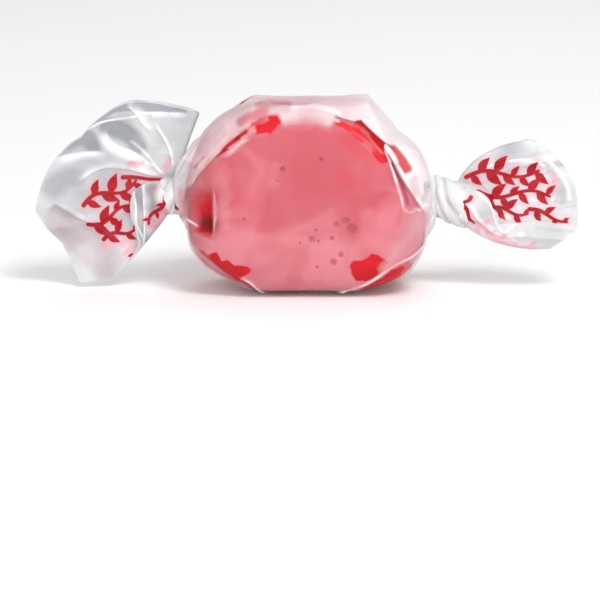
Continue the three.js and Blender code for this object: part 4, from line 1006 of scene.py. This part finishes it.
tails = {
    "left": {
        "way": -1, "pitch": 1.6, "ridge": 0.12, "grey": 0.62,
        "knot": (-15.1, 0.15), "depth": 0.2, "start": 1.1, "tilt": -0.035,
        "top": (76, 72), "bottom": (247, 236),
        "edge": [(66, 9.2), (90, 9.6), (116, 11.0), (147, 11.4), (167, 13.4), (187, 14.8), (205, 13.0),
                 (213, 13.1), (225, 13.9), (237, 10.5), (248, 7.5)],
        "folds": [(103, 11, 1.0), (133, 14, 1.2), (160, 13, -0.8), (185, 16, 0.9), (214, 14, -0.7)],
        "fineFolds": [(84, 4, 0.25), (93, 3, -0.2), (112, 4, -0.25), (121, 5, 0.3), (142, 4, -0.3),
                      (151, 5, 0.3), (169, 4, 0.25), (176, 5, -0.2), (196, 5, 0.2), (205, 4, -0.2),
                      (224, 5, 0.2)],
        "back": {"until": 212, "behind": 0.9},
        "near": {"start": 0.25, "length": 6.3, "height": 1.75,
                 "grey": 0.5, "edge": [(0, 128), (0.3, 136), (0.62, 176), (0.8, 222), (1, 238)]},
        # Grey in these marks is painted shade in the fold valleys and on parts turned from the light, and
        # the crests are painted highlights along creases that are also pushed out
        "marks": {
            "main": [
                ([(-23.8, 8.1), (-22.2, 9.1), (-20.5, 9.7), (-17.3, 9.7), (-13.7, 9.4)], 0.4, 0.3, 0.0,
                 {"grey": 1.0, "haze": 0.9}),
                ([(-21.9, 7.4), (-20.5, 7.0), (-19.3, 6.3), (-18.6, 5.3)], 0.5, 0.9, 0,
                 {"grey": 1.0, "push": -0.2}),
                ([(-26.9, 5.0), (-25.8, 6.0), (-24.4, 6.4), (-23.3, 5.5)], 0.5, 0.9, 0, {"grey": 0.95}),
                ([(-25.5, 2.1), (-26.9, 1.7), (-28.0, 0.6)], 0.5, 1.2, 0, {"grey": 0.85}),
                ([(-28.2, -1.1), (-26.0, -2.5), (-23.8, -3.6), (-22.3, -4.4)], 0.2, (0.3, 1.2), 0.1,
                 {"grey": 0.95, "push": -0.3}),
                ([(-27.1, -3.2), (-25.1, -4.4), (-23.3, -6.2), (-21.9, -7.4)], 1.3, 1.0, 0.0,
                 {"grey": 0.75, "blush": 0.12}),
                ([(-22.4, 7.3), (-22.1, 6.3), (-21.1, 5.3), (-19.2, 4.5), (-17.9, 3.6), (-16.8, 2.7)], 0.2,
                 (0.25, 1.1), 0.25, {"grey": 0.0, "haze": 0.95, "push": 0.35}),
                ([(-27.9, 3.8), (-25.5, 4.4), (-23.7, 4.6), (-22.7, 4.5), (-21.9, 4.1)], 0.1, (0.25, 0.9),
                 0.3, {"grey": 0.1, "push": 0.25}),
                ([(-20.0, 9.8), (-19.3, 9.4), (-18.7, 8.8), (-17.9, 7.7), (-16.8, 6.8)], 0.05, (1.1, 0.14),
                 0.2, {"grey": 0.2, "push": 0.15}),
                ([(-16.8, 7.9), (-16.6, 7.5), (-15.8, 6.3), (-15.2, 5.1), (-14.9, 3.9), (-14.9, 2.6)], 0.0,
                 (0.45, 0.16), 0.15, crest(0.25)),
                ([(-17.3, 8.8), (-16.0, 8.9), (-14.9, 8.9), (-13.2, 8.8)], 0.05, (0.12, 0.5), 0.1,
                 {"grey": 0.1}),
                ([(-24.8, 6.9), (-23.7, 7.5), (-22.1, 8.1), (-18.9, 8.6), (-17.4, 9.0), (-13.2, 9.0)], 0.0,
                 (0.13, 0.3), 0.05, crest(0.12)),
                ([(-19.7, 6.2), (-18.9, 5.7), (-17.4, 4.3), (-16.6, 3.2), (-15.4, 2.0)], 0.0, (0.16, 0.5),
                 0.2, crest(0.25)),
                ([(-25.5, 1.2), (-22.7, 2.9), (-19.9, 2.9), (-17.1, 2.2), (-15.4, 1.9)], 0.0, (0.7, 0.18),
                 0.2, {"grey": 0.2, "push": 0.2}),
                ([(-27.5, -0.6), (-24.8, -2.2), (-22.2, -4.0), (-20.1, -5.2)], 0.0, (0.2, 0.8), 0.2,
                 {"grey": 0.3, "push": 0.15}),
            ],
            "near": [
                ([(-18.6, 0.9), (-18.3, -1.2), (-18.2, -3.4), (-17.8, -5.2)], 0.3, 0.25, 0.0,
                 {"grey": 0.8}),
                ([(-16.9, 0.6), (-16.4, -0.6), (-16.9, -2.8)], 0.4, 0.8, 0, {"grey": 1.0, "blush": 0.12}),
                ([(-18.1, 1.4), (-18.0, -0.4), (-17.9, -2.1), (-17.9, -3.9), (-17.9, -5.0)], 0.0,
                 (0.3, 0.16), 0.06, crest(0.3)),
                ([(-19.2, 1.0), (-18.7, 1.5), (-17.8, 1.8), (-16.3, 1.7), (-15.2, 2.0)], 0.0, 0.25, 0.0,
                 crest(0.15)),
                ([(-19.2, 1.0), (-18.9, -0.4), (-18.8, -1.3), (-18.7, -3.1), (-18.0, -4.7), (-17.9, -5.7)],
                 0.0, 0.18, 0.0, {"grey": 0.1, "haze": 0.97}),
            ],
        },
        "print": {  # sprigs: from, to, how far the stem bows, leaves, leaf length
            "main": [((-24.5, -1.1), (-18.8, 1.6), 0.55, 7, 1.9),
                     ((-24.0, -3.2), (-18.9, -1.2), -0.45, 6, 1.7),
                     ((-22.3, -4.8), (-18.7, -3.5), 0.3, 4, 1.3),
                     ((-20.2, 1.95), (-16.0, 1.75), 0.06, 0, 1.0),
                     ((-18.2, -5.5), (-19.2, -7.2), 0.05, 1, 0.9)],
            "near": [((-15.6, -0.3), (-17.4, -3.1), 0.3, 3, 0.8)],
        },
        "ghost": {  # the same print seen through a layer
            "main": [((-19.5, 3.4), (-18.0, 3.7), 0.1, 3, 0.6), ((-15.5, 2.9), (-15.1, 4.1), 0.1, 3, 0.5),
                     ((-22.2, -5.6), (-19.6, -4.6), 0.3, 5, 0.9),
                     ((-19.9, -6.4), (-18.2, -4.9), 0.2, 4, 0.9)],
            "near": [((-15.6, -1.6), (-16.8, -4.1), 0.3, 4, 0.8)],
        },
    },
    "right": {
        "way": 1, "pitch": 1.7, "ridge": 0.13, "grey": 0.5,
        "knot": (16.3, -0.75), "depth": 0.2, "start": 1.5, "tilt": 0.05,
        "top": (80, 40), "bottom": (-58, -24),
        "edge": [(-45, 10.0), (-26, 11.2), (-17, 12.3), (-11, 13.3), (8, 13.0), (17, 12.4), (37, 10.9),
                 (44, 9.9), (60, 9.2)],
        "folds": [(30, 13, 0.9), (8, 12, -0.8), (-12, 12, 0.7)],
        "fineFolds": [(36, 3, -0.25), (23, 4, 0.25), (16, 4, -0.25), (2, 4, 0.25), (-5, 4, -0.2),
                      (-18, 4, 0.2)],
        "back": {"until": 2, "behind": 0.9},
        "near": {"start": 0.3, "length": 13.3, "height": 1.9,
                 "grey": 0.48,
                 "edge": [(0, 120), (0.13, 95), (0.17, 75), (0.2, 52), (0.27, -5), (0.42, -25), (0.62, -11),
                          (1, -10)]},
        # Grey in these marks is painted shade in the fold valleys and on parts turned from the light, and
        # the crests are painted highlights along creases that are also pushed out
        "marks": {
            "main": [
                ([(20.6, 4.5), (22.4, 5.1), (24.6, 4.7)], 0.3, 0.8, 0, {"grey": 0.62}),
                ([(26.1, 2.8), (27.1, 1.5), (27.5, -0.1), (27.1, -1.2)], 0.2, (0.9, 0.3), 0.1,
                 {"grey": 0.65, "push": -0.25}),
                ([(24.9, -1.0), (26.5, -2.0), (27.8, -2.9)], 0.1, (0.9, 0.2), 0, {"grey": 0.5}),
                ([(19.0, 3.0), (20.8, 3.5), (22.1, 3.8), (23.5, 3.9), (25.1, 3.6), (26.2, 3.0)], 0.0,
                 (0.16, 0.5), 0.1, crest(0.2)),
                ([(25.8, 4.2), (27.2, 2.9), (28.4, 0.9), (28.8, -1.2)], 0.0, (0.2, 0.7), 0.15,
                 {"grey": 0.0, "push": 0.2}),
                ([(26.0, 2.3), (26.3, 0.9), (25.9, -0.3)], 0.0, (0.2, 0.7), 0.15,
                 {"grey": 0.05, "push": 0.15}),
            ],
            "near": [
                ([(21.5, -5.2), (23.2, -4.9), (25.4, -4.9), (27.0, -4.7)], 0.3, 0.6, 0.1, {"grey": 0.42}),
                ([(17.2, 1.5), (18.0, 1.1), (19.0, -0.1), (20.0, -1.2), (20.6, -3.2), (21.5, -4.1),
                  (22.6, -3.2), (24.5, -2.6), (26.4, -2.8), (28.4, -2.7)], 0.0, 0.2, 0.03,
                 crest(0.15)),
                ([(17.5, -1.0), (18.9, -3.0), (21.0, -4.4), (24.0, -4.4)], 0.0, (0.6, 0.2), 0.1,
                 crest(0.2)),
                ([(17.0, -1.6), (18.4, -3.6), (20.2, -5.0)], 0.2, 0.4, 0.1, {"grey": 0.35, "push": -0.15}),
            ],
        },
        "print": {
            "main": [((17.3, 2.0), (25.2, 2.7), 0.5, 9, 1.85), ((18.6, 0.4), (26.4, -0.1), -0.5, 8, 1.75),
                     ((20.0, -1.5), (24.0, -2.0), 0.3, 4, 1.4), ((24.2, -1.5), (28.3, -2.9), 0.2, 4, 1.2)],
            "near": [((17.8, -0.2), (16.9, -1.1), 0.1, 0, 0.6), ((16.9, -1.1), (18.1, -3.0), 0.15, 1, 0.6)],
        },
        "ghost": {
            "main": [((26.2, 0.2), (26.9, 2.2), 0.2, 4, 0.9)],
            "near": [((18.0, -3.1), (21.4, -4.6), 0.3, 6, 1.0), ((19.4, -5.2), (24.6, -5.6), 0.2, 6, 0.9)],
        },
    },
}

fanGrid = {
    "columns": {"back": 64, "topTurn": 8, "main": 270, "bottomTurn": 8, "near": 120},
    "rows": 104,
    "flare": 12.0,  # mm from the knot at which the folds have their stated height
    "fineHeight": 1.7,  # times the stated height of the fine folds
    "lean": 0.12,  # mm back for each mm above the knot
    "taper": 3.0,  # mm past the wrung rod over which it spreads into the fan
    "leastTurn": 1.5,  # mm, the least radius that a turn's width is worked out at
    "nearLowers": 0.55,  # share by which the near layer comes closer to the main one outwards
    "joins": (1.4, 0.7),  # mm over which the main layer and the near one leave the rod
    "overRod": (-0.3, 0.02),  # mm that they are outside it, at the knot and beyond
    "nearOver": 0.1,  # and how much more for the near one
    "blend": 0.3,  # mm over which a layer eases onto the rod
    "haze": 0.9,
    "backGrey": 0.45,
    "ghost": {"most": 0.75, "edge": (-0.32, 0.6)},  # print seen through a layer
    "bleed": {"most": 0.4, "edge": (-0.7, 0.8)},  # the print's red in the milk round it
    "waves": {"height": 0.1, "size": 2.6, "seed": 31},
    "ridges": {"height": 0.05, "size": 1.3, "seed": 32},
    "crumple": {"count": 60, "height": 0.09},
    "crumpleMiddle": 20.0,  # mm from the candy's middle to the fan's
    "crumpleSeed": 7,
    "grownAt": 4,  # mm past the rod at which the layers are fully creased
    "gathered": {"edge": (0.8, 1.2), "grey": 0.05, "haze": 0.97},  # close to the knot
    "mottle": {"grey": 0.15, "size": 2.2, "seed": 33},
    "hazeLimits": (0.1, 0.97),
}


def softMin(a, b, blend):
    h = np.clip(0.5 + 0.5 * (b - a) / blend, 0, 1)
    return lerp(b, a, h) - blend * h * (1 - h)


# The depth of a fan's main layer at an angle and a radius from its knot
def foldDepth(tail, degrees, radius, edgeDegrees):
    total = np.zeros(np.shape(edgeDegrees))
    for at, half, height in tail["folds"]:
        total = total + height * np.maximum(0, 1 - np.abs(edgeDegrees - at) / half)
    for at, half, height in tail["fineFolds"]:
        height = height * fanGrid["fineHeight"]
        total = total + height * np.maximum(0, 1 - np.abs(edgeDegrees - at) / half)
    rise = fanGrid["lean"] * radius * np.sin(np.radians(degrees))
    return tail["depth"] + rise - tail["tilt"] * radius - total * radius / fanGrid["flare"]


# How far the wrung rod stands out at a place seen from the front, tapering past its end
def rodBulge(tail, x, z):
    twist = twists[tail["way"]]
    station = np.abs(x)
    radius = twistRadius(twist, station) + roll["thick"]
    height = z + twistDrop(twist, station)
    past = np.maximum(0, station - twist["endX"]) / fanGrid["taper"]
    return radius * np.sqrt(np.maximum(0, 1 - (height / radius) ** 2 - past ** 2))


# A fan as one folded strip: the back layer, a turn, the main layer, a turn and the near layer
def makeFan(tail):
    g = fanGrid
    counts = g["columns"]
    layer = np.concatenate([[name] * count for name, count in counts.items()])[None, :]
    t = np.concatenate([(np.arange(count) + 0.5) / count for count in counts.values()])[None, :]
    isBack, isTopTurn, isMain, isBottomTurn, isNear = [layer == name for name in counts]
    out = np.linspace(0, 1, g["rows"])[:, None]
    way = np.sign(tail["bottom"][0] - tail["top"][0])
    behind = tail["back"]["behind"]
    near = tail["near"]

    def place(out, radius):
        top, bottom = lerp(*tail["top"], out), lerp(*tail["bottom"], out)
        height = near["height"] * (1 - g["nearLowers"] * out)
        wide = np.degrees(np.sin(np.pi * t) / np.maximum(radius, g["leastTurn"]))
        bend = (1 + np.cos(np.pi * t)) / 2
        degrees = np.select(
            [isBack, isTopTurn, isMain, isBottomTurn],
            [lerp(tail["back"]["until"], top, t), top - way * wide * behind / 2, lerp(top, bottom, t),
             bottom + way * wide * height / 2],
            lerp(bottom, along(near["edge"], out), t))
        past = np.select([isBack, isTopTurn, isMain, isBottomTurn],
                         [behind, behind * bend, 0, height * (bend - 1)], -height)
        return degrees, past

    toNear = np.select([isNear, isBottomTurn], [1, smooth(t)], 0)
    start = lerp(tail["start"], near["start"], toNear)
    radius = np.broadcast_to(start, (g["rows"], t.shape[1]))
    for _ in range(3):  # the angle depends on the radius a little, and the radius on the angle
        reach = along(tail["edge"], place(out, radius)[0])
        reach = lerp(reach, np.minimum(near["length"], reach), toNear)
        radius = lerp(start, reach, out)
    degrees, past = place(out, radius)
    edgeDegrees = np.broadcast_to(place(np.ones(out.shape), np.full(radius.shape, g["flare"]))[0],
                                  radius.shape)
    turned = np.radians(degrees)
    x, z = tail["knot"][0] + radius * np.cos(turned), tail["knot"][1] + radius * np.sin(turned)
    y = foldDepth(tail, degrees, radius, edgeDegrees) + past
    outside = lerp(*g["overRod"], smooth((radius - start) / lerp(*g["joins"], toNear)))
    rod = -rodBulge(tail, x, z) - outside
    frontSide = softMin(y, rod - np.where(isNear, g["nearOver"], 0), g["blend"])
    backSide = -softMin(-y, rod, g["blend"])
    points = np.stack([x, lerp(frontSide, backSide, np.clip(past / behind, 0, 1)), z], axis=-1)
    return points, np.broadcast_to(layer, x.shape), radius


def makeTail(name):
    g = fanGrid
    tail = tails[name]
    grid, layer, radius = makeFan(tail)
    points, layer, radius = grid.reshape(-1, 3), layer.reshape(-1), radius.reshape(-1)
    seen = fromFront(points)
    empty = np.zeros(len(points))
    grey = np.select([layer == "near", layer == "back"], [tail["near"]["grey"], g["backGrey"]],
                     tail["grey"])
    values = {"haze": empty + g["haze"], "grey": grey, "push": empty, "blush": empty,
              "ink": empty - 1}
    for which, turn in (("main", "topTurn"), ("near", "bottomTurn")):
        on = np.isin(layer, (which, turn))
        drawMarks(seen, tail["marks"][which], values, on)
        ink = printed(seen, tail["print"][which])
        ghost = g["ghost"]["most"] * ramp(printed(seen, tail["ghost"][which]), *g["ghost"]["edge"])
        bleed = g["bleed"]["most"] * ramp(ink, *g["bleed"]["edge"])
        values["blush"] = np.maximum(values["blush"], np.where(on, np.maximum(ghost, bleed), 0))
        values["ink"] = np.where(on, ink, values["ink"])

    grown = smooth((radius - tail["start"]) / g["grownAt"])
    flat = points * [1, 0, 1]
    waves, ridges, mottle, gathers = g["waves"], g["ridges"], g["mottle"], g["gathered"]
    wave = softNoise(flat + [0, 9, 0], waves["size"], waves["seed"])
    ridge = 1 - 2 * np.abs(softNoise(flat, ridges["size"], ridges["seed"]))
    middle = [-g["crumpleMiddle"] * tail["way"], 0, 0]
    creases = crumpled(flat + middle, g["crumpleSeed"] + tail["way"], **g["crumple"])
    creases = creases + waves["height"] * wave + ridges["height"] * ridge
    push = values.pop("push") + grown * creases
    points = points - push[:, None] * [0, 1, 0]
    gathered = 1 - ramp(radius, *gathers["edge"])
    mottled = mottle["grey"] * softNoise(flat, mottle["size"], mottle["seed"])
    values["grey"] = np.clip(lerp(values["grey"], gathers["grey"], gathered) + mottled, 0, 1)
    values["haze"] = np.clip(lerp(values["haze"], gathers["haze"], gathered), *g["hazeLimits"])
    addPiece(name + "Fan", points, gridFaces(*grid.shape[:2]), values, paperMaterial,
             ["wax_paper_wrapper"])


rodGrid = {
    "rows": 64,
    "round": 168,
    "past": 0.5,  # mm that it goes on at both ends
    "starts": 4,  # folds that run round it side by side
    "sway": {"round": (1.3, 2, 1.3), "along": (1.1, 2.3, 1.5)},  # how the folds stray from a plain thread
    "uneven": {"mean": 0.65, "spread": 0.5, "size": 1.1, "seed": 51, "radius": 2},
    "fine": {"height": 0.12, "rate": 1.5, "round": 1.7, "along": (2.1, 1.7)},  # small folds between them
    "sunk": 0.05,
    "tuck": {"depth": 1.1, "over": 0.6},  # its inner end is drawn in under the sheet
    "close": {"depth": 0.9, "over": 0.5},
    "haze": 0.95,
    "grey": (0.25, 0.85),  # painted shade: light on its ridges and darkest in its folds
}


def makeRod(name):
    g = rodGrid
    tail = tails[name]
    twist = twists[tail["way"]]
    first, last = twist["neckX"] - g["past"], twist["endX"] + g["past"]
    station = np.linspace(first, last, g["rows"])[:, None]
    angle = np.linspace(0, 2 * np.pi, g["round"], endpoint=False)[None, :]
    wound = g["starts"] * angle - 2 * np.pi * (station - first) / tail["pitch"]
    strays, count, phase = g["sway"]["round"]
    straysAlong, rate, slant = g["sway"]["along"]
    swayed = wound + strays * np.sin(count * angle + phase)
    swayed = swayed + straysAlong * np.sin(station * rate + slant * np.sin(angle))
    rough = g["uneven"]
    around = np.stack(np.broadcast_arrays(station, rough["radius"] * np.cos(angle),
                                          rough["radius"] * np.sin(angle)), axis=-1).reshape(-1, 3)
    worn = softNoise(around, rough["size"], rough["seed"]).reshape(wound.shape)
    ridge = (2 * np.abs(np.cos(swayed / 2)) - 1) * (rough["mean"] + rough["spread"] * worn)
    small = g["fine"]
    far, farRate = small["along"]
    fine = wound * small["rate"] + small["round"] * np.sin(angle) + far * np.sin(station * farRate)
    fine = small["height"] * (1 - 2 * np.abs(np.sin(fine)))
    tuck, close = g["tuck"], g["close"]
    tucked = tuck["depth"] * (1 - ramp(station, first, tuck["over"]))
    closed = close["depth"] * ramp(station, last - close["over"], close["over"])
    radius = twistRadius(twist, station) + roll["thick"] - g["sunk"] - tucked - closed
    radius = radius + tail["ridge"] * (ridge + fine)
    x = np.broadcast_to(tail["way"] * station, radius.shape)
    z = radius * np.cos(angle) - twistDrop(twist, station)
    grid = np.stack([x, -radius * np.sin(angle), z], axis=-1)
    points = grid.reshape(-1, 3)
    empty = np.zeros(len(points))
    # Painted shade: the sheet is drawn greyer down in the folds between the ridges
    folded = (0.5 - 0.5 * ridge.reshape(-1)) ** 2
    values = {"haze": empty + g["haze"], "ink": empty - 1, "blush": empty,
              "grey": lerp(*g["grey"], folded)}
    addPiece(name + "Twist", points, gridFaces(*radius.shape, ring=True), values, paperMaterial,
             ["wax_paper_wrapper"])


for name in tails:
    makeRod(name)
    makeTail(name)

# The floor, the lights and the camera

stage = {
    "floor": "#F7F7F7",
    "floorPale": "#FBFBFB",
    "floorSize": 6.0,
    "world": 0.55,
    "key": {"from": (0.15, -0.27, 0.38), "size": 0.17, "power": 1.25},
    "fill": {"from": (-0.34, -0.38, 0.26), "size": 0.35, "power": 0.5},
    "low": {"from": (0.09, -0.42, 0.03), "size": 0.3, "power": 1.0},
    "rear": {"from": (0.05, 0.34, 0.38), "size": 0.30, "power": 0.45},
}

floorMaterial, tree = newMaterial("mattWhiteBoard")  # painted card: an even, faintly mottled white
floorSpot = addNode(tree, "TexNoise", {"Scale": 12.0, "Detail": 2.0},
                    {"Vector": addNode(tree, "TexCoord", {}).outputs["Object"]})
floorTone = addNode(tree, "MixRGB", {"Color1": linear(stage["floor"]),
                                     "Color2": linear(stage["floorPale"])}, {"Fac": floorSpot})
floorShader = addNode(tree, "BsdfPrincipled", {"Roughness": 0.9}, {"Base Color": floorTone})
addNode(tree, "OutputMaterial", {}, {"Surface": floorShader})
half = stage["floorSize"] / 2
floorMesh = bpy.data.meshes.new("floor")
floorMesh.from_pydata([(-half, -half, 0), (half, -half, 0), (half, half, 0), (-half, half, 0)], [],
                      [(0, 1, 2, 3)])
floorMesh.materials.append(floorMaterial)
floor = bpy.data.objects.new("floor", floorMesh)
bpy.context.scene.collection.objects.link(floor)

world = bpy.data.worlds.new("softRoom")
world.use_nodes = True
background = world.node_tree.nodes["Background"]
background.inputs["Color"].default_value = (1, 1, 1, 1)
background.inputs["Strength"].default_value = stage["world"]
bpy.context.scene.world = world

aim = Vector(candy["middle"]) * mm
for name in ("key", "fill", "low", "rear"):
    lamp = bpy.data.lights.new(name, "AREA")
    lamp.size = stage[name]["size"]
    lamp.energy = stage[name]["power"]
    holder = bpy.data.objects.new(name, lamp)
    holder.location = stage[name]["from"]
    holder.rotation_euler = (aim - holder.location).to_track_quat("-Z", "Y").to_euler()
    bpy.context.scene.collection.objects.link(holder)

framing = {
    "frameWidth": 65.58,  # mm that the picture is wide at the candy's middle
    "across": 8 / 600,  # how far right and up of the picture's middle the candy is, by its width
    "up": 104.7 / 600,
    "sensor": 36.0,
}
cameraData = bpy.data.cameras.new("camera")
cameraData.sensor_width = framing["sensor"]
cameraData.lens = framing["sensor"] * view["distance"] / framing["frameWidth"]
cameraData.clip_start = 0.01
cameraData.clip_end = 20
camera = bpy.data.objects.new("camera", cameraData)
bpy.context.scene.collection.objects.link(camera)
lift = math.radians(view["elevation"])
camera.location = aim + Vector((0, -math.cos(lift), math.sin(lift))) * view["distance"] * mm
share = framing["frameWidth"] / view["distance"]
pitch = lift + math.atan(framing["up"] * share)
yaw = math.atan(framing["across"] * share)
camera.rotation_euler = (math.pi / 2 - pitch, 0, yaw)
bpy.context.scene.camera = camera
bpy.context.scene.view_settings.view_transform = "Standard"
print("stage set")
